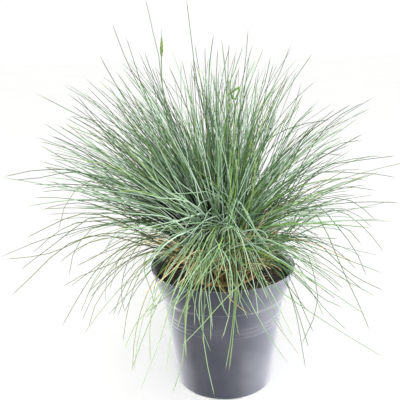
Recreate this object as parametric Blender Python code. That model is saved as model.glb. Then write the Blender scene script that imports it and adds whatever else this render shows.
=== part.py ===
"""Potted blue fescue: one clump of needle-leaved grass in a round nursery pot of compost.

Units are metres, +Z is up. The pot stands on Z = 0 with its axis on the Z axis, and -Y is the front.

The clump is a fountain. Every leaf starts square to the crown's dome, rises for a while as the
clump's neck and then fans out. How far it leans depends only on how far from the middle of the
crown it starts, so leaves that start further out lean further over, and none of them cross.
"""

import math
import random

import bmesh
import bpy
from mathutils import Matrix, Vector

MM = 0.001
GAP = 0.3 * MM  # clearance between pieces that touch
SEED = 29

# Pot: a thin moulded tapered wall, with a flared collar above a small ledge
POT_HEIGHT = 113 * MM
POT_RIM_RADIUS = 65 * MM
POT_BASE_RADIUS = 43 * MM
POT_WALL = 1.3 * MM
POT_SEGMENTS = 40
COLLAR_HEIGHT = 25.4 * MM
COLLAR_FOOT_RADIUS = 56.8 * MM
LEDGE = 1.4 * MM  # how far the wall steps in under the collar
RIM_ROUNDING = 0.7 * MM
RING_HEIGHTS = (64.0 * MM, 68.2 * MM, 72.4 * MM)  # the three fine rings pressed into the wall
RING_DEPTH = 0.7 * MM
RING_HALF_WIDTH = 0.8 * MM
FLOOR_THICKNESS = 2.4 * MM
FOOT_ROUNDING = 1.3 * MM
UNDERSIDE_PAD_RADIUS = 15 * MM
UNDERSIDE_RECESS = 1.0 * MM
FOOT_RING_WIDTH = 8 * MM
DRAIN_HOLES = 6
DRAIN_RADIUS = 3.5 * MM
DRAIN_CIRCLE = 25 * MM

# Compost
COMPOST_BELOW_RIM = 10 * MM
COMPOST_ROUGHNESS = 0.9 * MM
COMPOST_RINGS = (0.62, 0.82)  # of its radius, between the crown's seat and the wall
SEAT_DEPTH = 9 * MM

# Crown: the low dome of packed shoot bases
CROWN_RADIUS = 30 * MM
CROWN_RISE = 6 * MM
CROWN_SEGMENTS = 28
CROWN_RINGS = 3
CROWN_SPHERE = (CROWN_RADIUS**2 + CROWN_RISE**2) / (2 * CROWN_RISE)
CROWN_EDGE_Z = POT_HEIGHT - COMPOST_BELOW_RIM + 0.6 * MM

# Fountain
LEAN_AT_EDGE = math.radians(101)  # of the outermost leaves once they have fanned out
DROOP_AT_CENTRE = math.radians(4)  # what a leaf's own weight adds from there to its tip
DROOP_AT_EDGE = math.radians(50)
BEND_START = 8 * MM  # along the leaf
BEND_END = 80 * MM
REACH_TOP = 210 * MM  # of the ordinary leaves, by where they point
REACH_SIDE = 160 * MM
REACH_LEFT_BIAS = 15 * MM
LOBES = ((-5, -2, 62), (-26, -3, 36), (27, 3, 22), (-6, -27, 14))  # x, y on the crown, extra reach
LOBE_SIZE = 7  # all in millimetres
SHORTEST_LEAF = 0.82  # of the reach there
PATH_STEP = 1 * MM

# Tufts: each is one shoot's spray of leaves
PLACES = 50  # on the crown, in sunflower order from the middle
FIRST_PLACE_ANGLE = math.radians(42.5)
GOLDEN_ANGLE = math.pi * (3 - math.sqrt(5))
CROWN_FILL = 0.94  # how much of the crown's radius the places spread over
LEAVES_PER_TUFT = 6
SHEATH_RADIUS = 2.3 * MM
SHEATH_HEIGHT = 3 * MM
LEAF_SPREAD = 0.74  # of the way from a tuft's middle to the next tuft's
LEAF_WIDTHS = (0.62, 0.50, 0.36)  # of the sheath's share, at the stations below
LEAF_STATIONS = (20 * MM, 54 * MM, 0.58)  # two lengths, then a share of the leaf

# Flower stalks: the places on the crown that they take, and their own sizes
FLOWER_PLACE = 1
YOUNG_PLACE = 0
STALK_RADIUS = 0.55 * MM
STALK_STATIONS = (0, 0.12, 0.3, 0.5, 0.75, 1)
FLOWER_LENGTH = 204 * MM
FLOWER_LEAN = 1.8  # how much further out the flower stalk leans than its place on the crown
UPRIGHT_FROM = 0.6  # of its length, where it starts to turn back up
SPIKE_LENGTH = 25 * MM
SPIKE_RADII = (0.9, 1.7, 1.9, 1.6, 1.1, 0.45)  # of the spike in millimetres, evenly spaced
YOUNG_LENGTH = 148 * MM
YOUNG_FOLDS = ((-2.4, 3.5), (-2.6, 8.5), (5.0, 10.8), (4.0, 6.8))  # kinked tip: right, up in mm
YOUNG_RADII = (0.9, 1.0, 0.95, 0.6)

# Finishes: sRGB colour, roughness
POT_FINISH = ("moulded slate grey plastic", (0.36, 0.37, 0.42), 0.45)
COMPOST_FINISH = ("damp peat compost", (0.11, 0.08, 0.07), 0.95)
CROWN_FINISH = ("dry leaf sheaths", (0.55, 0.45, 0.27), 0.85)
LEAF_FINISH = ("glaucous fescue leaf", (0.47, 0.60, 0.53), 0.55)
FLOWER_FINISH = ("green flower spike", (0.58, 0.65, 0.42), 0.65)


def clear_scene():
    """Remove every object that the file opened with."""
    for obj in list(bpy.data.objects):
        bpy.data.objects.remove(obj, do_unlink=True)


def linear(channel):
    """Turn one sRGB channel into the linear value that a shader takes."""
    return channel / 12.92 if channel <= 0.04045 else ((channel + 0.055) / 1.055) ** 2.4


def material(finish):
    """A Principled material from a (name, colour, roughness) finish."""
    name, colour, roughness = finish
    made = bpy.data.materials.new(name)
    made.use_nodes = True
    shader = made.node_tree.nodes["Principled BSDF"]
    shader.inputs["Base Color"].default_value = (*map(linear, colour), 1.0)
    shader.inputs["Roughness"].default_value = roughness
    shader.inputs["Metallic"].default_value = 0.0
    return made


def add_object(name, data, finish):
    """Link a new object that holds this mesh or curve, dressed in its own material."""
    obj = bpy.data.objects.new(name, data)
    obj.data.materials.append(material(finish))
    bpy.context.scene.collection.objects.link(obj)
    return obj


def mesh_from(bm, name):
    """Close off a bmesh: outward normals, then a mesh data block."""
    bmesh.ops.recalc_face_normals(bm, faces=bm.faces)
    mesh = bpy.data.meshes.new(name)
    bm.to_mesh(mesh)
    bm.free()
    return mesh


def lathe(profile, segments):
    """Spin a closed (radius, height) profile about Z; its ends on the axis become poles."""
    bm = bmesh.new()
    points = [bm.verts.new((radius, 0.0, height)) for radius, height in profile]
    edges = [bm.edges.new(pair) for pair in zip(points, points[1:])]
    bmesh.ops.spin(
        bm,
        geom=points + edges,
        cent=(0, 0, 0),
        axis=(0, 0, 1),
        angle=2 * math.pi,
        steps=segments,
        use_merge=True,
    )
    bmesh.ops.remove_doubles(bm, verts=bm.verts, dist=0.01 * MM)
    return bm


# ---------------------------------------------------------------- pot


def wall_radius(height):
    """Outside radius of the straight wall below the collar."""
    top = COLLAR_FOOT_RADIUS - LEDGE
    share = height / (POT_HEIGHT - COLLAR_HEIGHT)
    return POT_BASE_RADIUS + (top - POT_BASE_RADIUS) * share


def inner_radius(height):
    """Inside radius of the wall and collar, which the compost fills."""
    collar_foot = POT_HEIGHT - COLLAR_HEIGHT
    if height <= collar_foot:
        return wall_radius(height) - POT_WALL
    share = (height - collar_foot) / COLLAR_HEIGHT
    start = wall_radius(collar_foot) - POT_WALL
    return start + (POT_RIM_RADIUS - POT_WALL - start) * share


def pot_profile():
    """The pot's section, from the middle of the underside round to the middle of the floor."""
    collar_foot = POT_HEIGHT - COLLAR_HEIGHT
    foot_inside = POT_BASE_RADIUS - FOOT_RING_WIDTH
    underside = [
        (0, 0),
        (UNDERSIDE_PAD_RADIUS, 0),
        (UNDERSIDE_PAD_RADIUS + UNDERSIDE_RECESS, UNDERSIDE_RECESS),
        (foot_inside - UNDERSIDE_RECESS, UNDERSIDE_RECESS),
        (foot_inside, 0),
        (POT_BASE_RADIUS - FOOT_ROUNDING, 0),
        (wall_radius(FOOT_ROUNDING), FOOT_ROUNDING),
    ]
    rings = []
    for height in RING_HEIGHTS:
        low, high = height - RING_HALF_WIDTH, height + RING_HALF_WIDTH
        rings += [
            (wall_radius(low), low),
            (wall_radius(height) - RING_DEPTH, height),
            (wall_radius(high), high),
        ]
    collar = [
        (wall_radius(collar_foot - LEDGE), collar_foot - LEDGE),
        (COLLAR_FOOT_RADIUS, collar_foot),
        (POT_RIM_RADIUS, POT_HEIGHT - RIM_ROUNDING),
        (POT_RIM_RADIUS - RIM_ROUNDING, POT_HEIGHT),
        (POT_RIM_RADIUS - POT_WALL, POT_HEIGHT),
    ]
    inside = [
        (inner_radius(collar_foot), collar_foot),
        (inner_radius(FLOOR_THICKNESS), FLOOR_THICKNESS),
        (0, FLOOR_THICKNESS),
    ]
    return underside + rings + collar + inside


def drain_cutter():
    """One mesh of round pegs that the drain holes are cut with."""
    bm = bmesh.new()
    for hole in range(DRAIN_HOLES):
        turn = 2 * math.pi * (hole + 0.5) / DRAIN_HOLES
        place = Matrix.Translation(
            (DRAIN_CIRCLE * math.cos(turn), DRAIN_CIRCLE * math.sin(turn), 0)
        )
        bmesh.ops.create_cone(
            bm,
            cap_ends=True,
            segments=10,
            radius1=DRAIN_RADIUS,
            radius2=DRAIN_RADIUS,
            depth=4 * FLOOR_THICKNESS,
            matrix=place,
        )
    cutter = bpy.data.objects.new("drain_cutter", mesh_from(bm, "drain_cutter"))
    bpy.context.scene.collection.objects.link(cutter)
    cutter.hide_render = True
    cutter.hide_set(True)
    return cutter


def build_pot():
    """The pot: one moulded shell with drain holes through its floor."""
    pot = add_object("pot", mesh_from(lathe(pot_profile(), POT_SEGMENTS), "pot"), POT_FINISH)
    drains = pot.modifiers.new("drains", "BOOLEAN")
    drains.operation = "DIFFERENCE"
    drains.solver = "EXACT"
    drains.object = drain_cutter()


# ---------------------------------------------------------------- compost and crown


def build_compost(rng):
    """The compost: it fills the pot to just below the rim, with a seat for the crown."""
    top = POT_HEIGHT - COMPOST_BELOW_RIM
    bottom = FLOOR_THICKNESS + GAP
    collar_foot = POT_HEIGHT - COLLAR_HEIGHT
    edge = inner_radius(top) - GAP
    seat = CROWN_RADIUS + GAP
    profile = [
        (0, bottom),
        (inner_radius(bottom) - GAP, bottom),
        (inner_radius(collar_foot) - GAP, collar_foot),
        (edge, top),
        *((edge * share, top) for share in reversed(COMPOST_RINGS)),
        (seat, top),
        (seat, top - SEAT_DEPTH),
        (0, top - SEAT_DEPTH),
    ]
    bm = lathe(profile, POT_SEGMENTS)
    for vert in bm.verts:
        outside = math.hypot(vert.co.x, vert.co.y)
        if abs(vert.co.z - top) < GAP and seat + GAP < outside < edge - GAP:
            vert.co.z += rng.uniform(-1, 1) * COMPOST_ROUGHNESS
    add_object("compost", mesh_from(bm, "compost"), COMPOST_FINISH)


def crown_surface(radius):
    """Height of the crown's dome at this distance from the axis."""
    centre = CROWN_EDGE_Z + CROWN_RISE - CROWN_SPHERE
    return centre + math.sqrt(CROWN_SPHERE**2 - radius**2)


def build_crown():
    """The crown: a low dome that sits in its seat in the compost."""
    foot = POT_HEIGHT - COMPOST_BELOW_RIM - SEAT_DEPTH + GAP
    dome = [CROWN_RADIUS * ring / CROWN_RINGS for ring in range(CROWN_RINGS, -1, -1)]
    profile = [(0, foot), (CROWN_RADIUS, foot)]
    profile += [(radius, crown_surface(radius)) for radius in dome]
    bm = lathe(profile, CROWN_SEGMENTS)
    add_object("crown", mesh_from(bm, "crown"), CROWN_FINISH)


# ---------------------------------------------------------------- the fountain


def smoothstep(share):
    """Ease from 0 to 1."""
    share = min(max(share, 0.0), 1.0)
    return share * share * (3 - 2 * share)


def crown_place(index):
    """(x, y) of a place on the crown: the seeds of a sunflower, evenly spread over the disc."""
    radius = CROWN_RADIUS * CROWN_FILL * math.sqrt((index + 0.5) / PLACES)
    turn = FIRST_PLACE_ANGLE + index * GOLDEN_ANGLE
    return Vector((radius * math.cos(turn), radius * math.sin(turn)))


def reach(address):
    """Length of a full leaf from this address: most at the top, more to the left, and in lobes."""
    rank = min(address.length / CROWN_RADIUS, 1.0)
    to_right = address.x / max(address.length, GAP)
    side = REACH_SIDE - REACH_LEFT_BIAS * to_right
    lobes = sum(
        extra * MM * math.exp(-(((address / MM - Vector((x, y))).length / LOBE_SIZE) ** 2))
        for x, y, extra in LOBES
    )
    return REACH_TOP + (side - REACH_TOP) * rank**1.5 + lobes


def lean(address, run, length):
    """Angle from the vertical after a run along a leaf: neck, fan and droop."""
    rank = min(address.length / CROWN_RADIUS, 1.05)
    root = math.asin(rank * CROWN_RADIUS / CROWN_SPHERE)
    fanned = math.acos(1 - (1 - math.cos(LEAN_AT_EDGE)) * rank**2)
    droop = DROOP_AT_CENTRE + (DROOP_AT_EDGE - DROOP_AT_CENTRE) * rank**2
    bend = smoothstep((run - BEND_START) / (BEND_END - BEND_START))
    return root + (fanned - root) * bend + droop * (run / length) ** 1.5


def frame_at(address, run, length):
    """Columns: across the lean, sideways, and along the leaf."""
    outward = address.normalized()
    angle = lean(address, run, length)
    radial = Vector((outward.x, outward.y, 0))
    across = math.cos(angle) * radial - math.sin(angle) * Vector((0, 0, 1))
    along = math.sin(angle) * radial + math.cos(angle) * Vector((0, 0, 1))
    sideways = along.cross(across)
    return Matrix((across, sideways, along)).transposed()


def leaf_path(start, address, length, stations):
    """(point, frame) at each station, carried up from the start along the flow."""
    found = []
    point, run = start.copy(), 0.0
    for station in stations:
        while run < station - PATH_STEP / 2:
            point = point + frame_at(address, run, length).col[2] * PATH_STEP
            run += PATH_STEP
        found.append((point.copy(), frame_at(address, run, length)))
    return found


# ---------------------------------------------------------------- tufts


def sheath(bm, place):
    """The closed six-sided stub of a tuft; returns the wedges of its top, one for each leaf."""
    foot_height = crown_surface(place.length) + 2 * GAP
    turn = frame_at(place, 0.0, REACH_SIDE)
    stand = Matrix.Translation((place.x, place.y, foot_height)) @ turn.to_4x4()
    base = bmesh.ops.create_circle(
        bm, cap_ends=True, segments=LEAVES_PER_TUFT, radius=SHEATH_RADIUS, matrix=stand
    )
    underside = base["verts"][0].link_faces[0]
    raised = bmesh.ops.extrude_discrete_faces(bm, faces=[underside])["faces"][0]
    bmesh.ops.translate(bm, verts=raised.verts, vec=turn.col[2] * SHEATH_HEIGHT)
    bmesh.ops.contextual_create(bm, geom=base["verts"])
    return bmesh.ops.poke(bm, faces=[raised])["faces"]


def grow_leaf(bm, wedge, place, rng):
    """Draw one leaf out of its wedge of the sheath, along the flow, to a point."""
    start = wedge.calc_center_median()
    middle = Vector((start.x, start.y)) - place
    cell = CROWN_RADIUS / math.sqrt(PLACES)
    address = place + middle.normalized() * cell * LEAF_SPREAD * rng.uniform(0.8, 1.0)
    length = reach(address) * rng.uniform(SHORTEST_LEAF, 1.0)
    stations = [*LEAF_STATIONS[:2], LEAF_STATIONS[2] * length, length]
    path = leaf_path(start, address, length, stations)
    frame = frame_at(address, 0.0, length)
    corners = [frame.transposed() @ (vert.co - start) for vert in wedge.verts]
    for (point, turn), width in zip(path[:-1], LEAF_WIDTHS):
        wedge = bmesh.ops.extrude_discrete_faces(bm, faces=[wedge])["faces"][0]
        for vert, corner in zip(wedge.verts, corners):
            flat = Vector((corner.x, corner.y, 0))
            vert.co = point + turn @ (flat * width)
    tip = bmesh.ops.poke(bm, faces=[wedge])["verts"][0]
    tip.co = path[-1][0]


def build_tuft(index, rng):
    """One tuft: a short sheath that splits into leaves."""
    name = f"leaf_tuft_{index:02d}"
    bm = bmesh.new()
    for wedge in sheath(bm, crown_place(index)):
        grow_leaf(bm, wedge, crown_place(index), rng)
    add_object(name, mesh_from(bm, name), LEAF_FINISH)


# ---------------------------------------------------------------- flower stalks


def stalk_curve(name, points, radii):
    """A closed tube through these points, with a radius at each."""
    curve = bpy.data.curves.new(name, "CURVE")
    curve.dimensions = "3D"
    curve.bevel_depth = 1.0
    curve.bevel_resolution = 0
    curve.use_fill_caps = True
    spline = curve.splines.new("POLY")
    spline.points.add(len(points) - 1)
    for slot, point, radius in zip(spline.points, points, radii):
        slot.co = (*point, 1.0)
        slot.radius = radius
    return curve


def stalk_points(place, address, length):
    """Points up a flower stalk from its place on the crown."""
    foot = Vector((place.x, place.y, crown_surface(place.length) + 2 * GAP))
    stations = [length * share for share in STALK_STATIONS]
    return [point for point, _ in leaf_path(foot, address, REACH_TOP, stations)]


def build_flower_stalk():
    """The flower stalk: it leans out, turns back up and carries a narrow spike."""
    place = crown_place(FLOWER_PLACE)
    leaning = stalk_points(place, place * FLOWER_LEAN, FLOWER_LENGTH)
    points = []
    for share, point in zip(STALK_STATIONS, leaning):
        if share > UPRIGHT_FROM:
            before = points[-1]
            half_way = (point + before + Vector((0, 0, (point - before).length))) / 2
            point = half_way if share < 1 else before + Vector((0, 0, point.z - leaning[-2].z))
        points.append(point)
    radii = [STALK_RADIUS] * len(points)
    end = points[-1]
    for step, radius in enumerate(SPIKE_RADII, start=1):
        points.append(end + Vector((0, 0, SPIKE_LENGTH * step / len(SPIKE_RADII))))
        radii.append(radius * MM)
    add_object("flower_stalk", stalk_curve("flower_stalk", points, radii), FLOWER_FINISH)


def build_young_stalk():
    """The young flower stalk, whose soft tip is folded over."""
    place = crown_place(YOUNG_PLACE)
    points = stalk_points(place, place, YOUNG_LENGTH)
    radii = [STALK_RADIUS] * len(points)
    end = points[-1]
    for (right, up), radius in zip(YOUNG_FOLDS, YOUNG_RADII):
        points.append(end + Vector((right, 0, up)) * MM)
        radii.append(radius * MM)
    add_object("young_stalk", stalk_curve("young_stalk", points, radii), FLOWER_FINISH)


def main():
    """Build every piece of the potted clump."""
    clear_scene()
    rng = random.Random(SEED)
    build_pot()
    build_compost(rng)
    build_crown()
    for index in range(PLACES):
        if index not in (FLOWER_PLACE, YOUNG_PLACE):
            build_tuft(index, rng)
    build_flower_stalk()
    build_young_stalk()


main()
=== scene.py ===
"""Potted blue fescue: the dressed model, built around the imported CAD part.

Units are metres, +Z is up, the pot stands on Z = 0 and the photograph was taken from -Y.
The clump is a fountain of needle leaves. Every leaf is a closed shell of its own, swept along its
own path, and the leaves of one shoot are one piece, which stands for that shoot's tuft in the CAD.
"""

from __future__ import annotations

import logging
import math
from dataclasses import dataclass, field, replace
from enum import Enum
from itertools import combinations
from typing import Sequence

import bpy
import numpy as np
from mathutils import Matrix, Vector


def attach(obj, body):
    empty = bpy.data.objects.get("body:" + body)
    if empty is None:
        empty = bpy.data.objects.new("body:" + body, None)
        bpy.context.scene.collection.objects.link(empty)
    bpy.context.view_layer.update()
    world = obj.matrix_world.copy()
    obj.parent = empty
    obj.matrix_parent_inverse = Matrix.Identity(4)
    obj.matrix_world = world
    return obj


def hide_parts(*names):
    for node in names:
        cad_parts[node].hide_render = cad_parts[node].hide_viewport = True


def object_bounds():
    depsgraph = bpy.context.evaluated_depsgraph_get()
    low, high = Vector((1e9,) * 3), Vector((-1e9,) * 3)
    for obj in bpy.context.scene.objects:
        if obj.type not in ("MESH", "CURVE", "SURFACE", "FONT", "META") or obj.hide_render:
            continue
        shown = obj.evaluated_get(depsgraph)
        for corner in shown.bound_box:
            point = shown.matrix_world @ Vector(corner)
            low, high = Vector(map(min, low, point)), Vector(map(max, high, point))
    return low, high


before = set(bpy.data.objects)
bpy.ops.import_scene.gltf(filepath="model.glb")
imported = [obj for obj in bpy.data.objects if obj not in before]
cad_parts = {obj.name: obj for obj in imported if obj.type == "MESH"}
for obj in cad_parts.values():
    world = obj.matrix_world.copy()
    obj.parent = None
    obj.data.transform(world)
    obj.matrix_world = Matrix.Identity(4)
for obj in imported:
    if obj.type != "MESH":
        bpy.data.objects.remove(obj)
cad_box = [list(corner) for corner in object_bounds()]

MM = 0.001
SEED = 7
BODY = "root"
GOLDEN_ANGLE = math.pi * (3 - math.sqrt(5))
CLOSING = 0.97  # the share of a leaf's length from which it closes to its point
NOTHING = 1e-12  # added to or held under a number that must not be nothing
ALL_SMOOTH = 180.0  # an angle that no edge turns by, so that none stays crisp
log = logging.getLogger("fescue")

Span = tuple[float, float]
Spot = tuple[float, float, float]
Path = tuple[Span, ...]
Stops = tuple[tuple[float, str], ...]  # (place, sRGB hex colour) along a ramp
Material = bpy.types.Material
Piece = bpy.types.Object
Socket = bpy.types.NodeSocket


# ---- numbers


def smoothstep(share: np.ndarray) -> np.ndarray:
    """Ease from 0 to 1: 3 s squared less 2 s cubed, held at its ends."""
    held = np.clip(share, 0.0, 1.0)
    return held * held * (3 - 2 * held)


def stations_to_tip(count: int) -> np.ndarray:
    """Shares of a leaf's length at its stations: equal steps, and a short one to the point."""
    return np.append(np.linspace(0, CLOSING, count - 1), 1.0)


def unit(vectors: np.ndarray) -> np.ndarray:
    """Each vector over its own length."""
    return vectors / np.maximum(np.linalg.norm(vectors, axis=-1, keepdims=True), NOTHING)


def polar(away: np.ndarray, turn: np.ndarray) -> np.ndarray:
    """The (x, y) at these distances and turns."""
    return np.stack([away * np.cos(turn), away * np.sin(turn)], axis=-1)


def square_to(turn: np.ndarray) -> np.ndarray:
    """The level directions a quarter turn on from these."""
    return np.stack([-np.sin(turn), np.cos(turn), 0 * turn], axis=-1)


def steps_round(count: int) -> np.ndarray:
    """The turns of this many equal steps round a circle."""
    return 2 * np.pi * np.arange(count) / count


def oval(corners: int, across: float = 0.5, above: float = 0.5) -> np.ndarray:
    """The corners of a round or flattened section, by its two half widths."""
    return polar(np.ones(corners), steps_round(corners)) * (across, above)


def linear(code: str) -> tuple[float, float, float, float]:
    """The linear red, green, blue and alpha of an sRGB hex colour, by sRGB's own curve.

    Args:
        code: a hash sign and six hex digits.

    Returns:
        Four numbers from 0 to 1.
    """
    channels = np.array([int(code[i : i + 2], 16) for i in (1, 3, 5)]) / 255
    low, high = channels / 12.92, ((channels + 0.055) / 1.055) ** 2.4
    return (*map(float, np.where(channels <= 0.04045, low, high)), 1.0)


@dataclass
class Lumps:
    """Smooth random height over the plane: a lattice of random values with eased steps."""

    cell: float
    rng: np.random.Generator
    count: int = 64
    values: np.ndarray = field(init=False)

    def __post_init__(self) -> None:
        """Draw the lattice once, so that every piece reads the same ground."""
        self.values = self.rng.uniform(-1, 1, (self.count, self.count))

    def at(self, x: np.ndarray, y: np.ndarray) -> np.ndarray:
        """Height from -1 to 1: the four lattice values round a point, mixed by eased shares.

        Args:
            x: X of each point.
            y: Y of each point.

        Returns:
            A height for each point.
        """
        u, v = x / self.cell + self.count / 2, y / self.cell + self.count / 2
        i, j = np.floor(u).astype(int), np.floor(v).astype(int)
        s, t = smoothstep(u - i), smoothstep(v - j)
        i, j, n = i % self.count, j % self.count, self.count
        near = self.values[i, j] * (1 - s) + self.values[(i + 1) % n, j] * s
        far = self.values[i, (j + 1) % n] * (1 - s) + self.values[(i + 1) % n, (j + 1) % n] * s
        return near * (1 - t) + far * t


# ---- surfaces


def put(name: str, data: bpy.types.ID) -> Piece:
    """A new object of this name and data, linked to the scene.

    Args:
        name: name of the object.
        data: its mesh, light or camera.

    Returns:
        The new object.
    """
    thing = bpy.data.objects.new(name, data)
    bpy.context.scene.collection.objects.link(thing)
    return thing


@dataclass
class Surface:
    """Points and faces of closed shells, with the numbers that the finishes read.

    quad_uv and triangle_uv hold one (u, v) for each corner of each face, or nothing.
    marks holds one number for each point under each name.
    """

    points: np.ndarray
    quads: np.ndarray
    triangles: np.ndarray
    marks: dict[str, np.ndarray] = field(default_factory=dict)
    quad_uv: np.ndarray | None = None
    triangle_uv: np.ndarray | None = None

    def to_piece(self, name: str, finish: Material, sharp: float = ALL_SMOOTH) -> Piece:
        """Put the surface into a mesh object that stands at the origin.

        Args:
            name: name of the piece.
            finish: the material it is dressed in.
            sharp: edges that turn by more than this many degrees stay crisp.

        Returns:
            The new object.
        """
        mesh = bpy.data.meshes.new(name)
        corners = np.concatenate([self.quads.ravel(), self.triangles.ravel()])
        sizes = np.repeat([4, 3], [len(self.quads), len(self.triangles)])
        mesh.vertices.add(len(self.points))
        mesh.vertices.foreach_set("co", self.points.astype(np.float32).ravel())
        mesh.loops.add(len(corners))
        mesh.loops.foreach_set("vertex_index", corners.astype(np.int32))
        mesh.polygons.add(len(sizes))
        mesh.polygons.foreach_set("loop_start", (np.cumsum(sizes) - sizes).astype(np.int32))
        if self.quad_uv is not None:
            layer = mesh.uv_layers.new(name="OFBake")
            both = np.concatenate([self.quad_uv.reshape(-1, 2), self.triangle_uv.reshape(-1, 2)])
            layer.uv.foreach_set("vector", both.astype(np.float32).ravel())
        for mark, numbers in self.marks.items():
            layer = mesh.attributes.new(mark, "FLOAT", "POINT")
            layer.data.foreach_set("value", numbers.astype(np.float32))
        mesh.update(calc_edges=True)
        mesh.polygons.foreach_set("use_smooth", np.ones(len(sizes), bool))
        mesh.set_sharp_from_angle(angle=math.radians(sharp))
        mesh.materials.append(finish)
        return put(name, mesh)


def joined(parts: Sequence[Surface]) -> Surface:
    """Surfaces that carry the same marks as one surface, without corner UVs.

    Args:
        parts: the surfaces, in order.

    Returns:
        One surface.
    """
    starts = np.cumsum([0, *(len(part.points) for part in parts)])
    pairs = list(zip(parts, starts))
    return Surface(
        np.concatenate([part.points for part in parts]),
        np.concatenate([part.quads + start for part, start in pairs]),
        np.concatenate([part.triangles + start for part, start in pairs]),
        {name: np.concatenate([part.marks[name] for part in parts]) for name in parts[0].marks},
    )


def ring_faces(
    rows: int, corners: int, first: int, ends: tuple[int, int]
) -> tuple[np.ndarray, np.ndarray]:
    """Faces that close rings of points, one ring after another, between two single points.

    Args:
        rows: how many rings.
        corners: points in a ring.
        first: number of the first ring's first point.
        ends: numbers of the single points before the first ring and after the last.

    Returns:
        The quads between the rings, and the triangles at both ends.
    """
    step = np.arange(corners)
    after = (step + 1) % corners
    base = (first + np.arange(rows - 1) * corners)[:, None]
    ahead = base + corners
    quads = np.stack([base + step, base + after, ahead + after, ahead + step], axis=-1)
    last = first + (rows - 1) * corners
    foot = np.stack([np.full(corners, ends[0]), first + after, first + step], axis=-1)
    tip = np.stack([last + step, last + after, np.full(corners, ends[1])], axis=-1)
    return quads.reshape(-1, 4), np.concatenate([foot, tip])


def lathe(radii: np.ndarray, heights: np.ndarray, segments: int) -> Surface:
    """Turn a section about the Z axis into a closed shell.

    Args:
        radii: distance from the axis at each point; the first and last lie on it, as poles.
        heights: height of each point.
        segments: steps round the axis.

    Returns:
        The shell, with its faces outwards where the section runs from below to above.
    """
    rows = len(radii) - 2
    level = np.repeat(heights[1:-1, None], segments, axis=1)
    ring = np.dstack([polar(radii[1:-1, None], steps_round(segments)), level])
    poles = np.array([[0, 0, heights[0]], [0, 0, heights[-1]]])
    count = rows * segments
    quads, triangles = ring_faces(rows, segments, first=0, ends=(count, count + 1))
    return Surface(np.concatenate([ring.reshape(-1, 3), poles]), quads, triangles)


def sweep(
    paths: np.ndarray,
    sides: np.ndarray,
    radii: np.ndarray,
    section: np.ndarray,
    margin: float = 0.06,
) -> Surface:
    """Carry one section along many paths at once, as closed shells that end in points.

    The section stands square to its path: its first axis is the side direction less that
    direction's part along the path, and its second is the path's direction crossed with the first.

    Args:
        paths: (shell, station, 3) points.
        sides: (shell, 3) directions across each shell.
        radii: (shell, station) size of the section.
        section: (corner, 2) points, counter-clockwise, about 1 across.
        margin: share of a shell's strip of the UV square left free at each side.

    Returns:
        The shells, with marks "along" and "across" and a strip of the UV square for each shell.
    """
    shells, stations, _ = paths.shape
    corners, rows = len(section), stations - 2
    along = unit(np.gradient(paths, axis=1))
    level = sides[:, None, :]
    across = unit(level - (level * along).sum(-1, keepdims=True) * along)
    above = np.cross(along, across)
    inner = slice(1, stations - 1)
    spread = section[:, 0, None] * across[:, inner, None]
    spread = spread + section[:, 1, None] * above[:, inner, None]
    rings = paths[:, inner, None] + radii[:, inner, None, None] * spread
    points = np.concatenate([paths[:, :1], rings.reshape(shells, -1, 3), paths[:, -1:]], axis=1)
    each = points.shape[1]
    quads, caps = ring_faces(rows, corners, first=1, ends=(0, each - 1))
    start = (np.arange(shells) * each)[:, None, None]

    def strips(corner_u: np.ndarray, corner_v: np.ndarray) -> np.ndarray:
        """The UV of these corners in the strip of each shell.

        Args:
            corner_u: (face, corner) steps round the section.
            corner_v: (face, corner) stations.

        Returns:
            A (u, v) for each corner of each face of every shell.
        """
        within = margin + (1 - 2 * margin) * corner_u / corners
        u = (np.arange(shells)[:, None, None] + within) / shells
        v = np.broadcast_to(corner_v / (stations - 1), u.shape)
        return np.stack([u, v], axis=-1).reshape(-1, corner_u.shape[1], 2)

    step = np.arange(corners)[:, None]
    column = np.tile(step, (rows - 1, 1)) + np.array([0, 1, 1, 0])
    row = np.repeat(np.arange(1, rows), corners)[:, None] + np.array([0, 0, 1, 1])
    cap_u = np.concatenate([step + np.array([0.5, 1, 0]), step + np.array([0, 1, 0.5])])
    cap_v = np.repeat([[0, 1, 1], [rows, rows, stations - 1]], corners, axis=0)
    station = np.concatenate([[0], np.repeat(np.arange(1, rows + 1), corners), [stations - 1]])
    round_leaf = np.abs(section[:, 0]) * 2 * np.sign(section[:, 1] + NOTHING)
    return Surface(
        points=points.reshape(-1, 3),
        quads=(start + quads).reshape(-1, 4),
        triangles=(start + caps).reshape(-1, 3),
        marks={
            "along": np.tile(stations_to_tip(stations)[station], shells),
            "across": np.tile([0, *np.tile(round_leaf, rows), 0], shells),
        },
        quad_uv=strips(column, row),
        triangle_uv=strips(cap_u, cap_v),
    )


def per_shell(surface: Surface, shells: int, **numbers: np.ndarray | float) -> Surface:
    """Mark every point of these equal shells with its shell's own numbers, or one for all.

    Args:
        surface: equal shells, one after another.
        shells: how many there are.
        numbers: values under the names of their marks.

    Returns:
        The same surface.
    """
    each = len(surface.points) // shells
    for mark, values in numbers.items():
        surface.marks[mark] = np.repeat(np.broadcast_to(values, shells).astype(float), each)
    return surface


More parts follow.
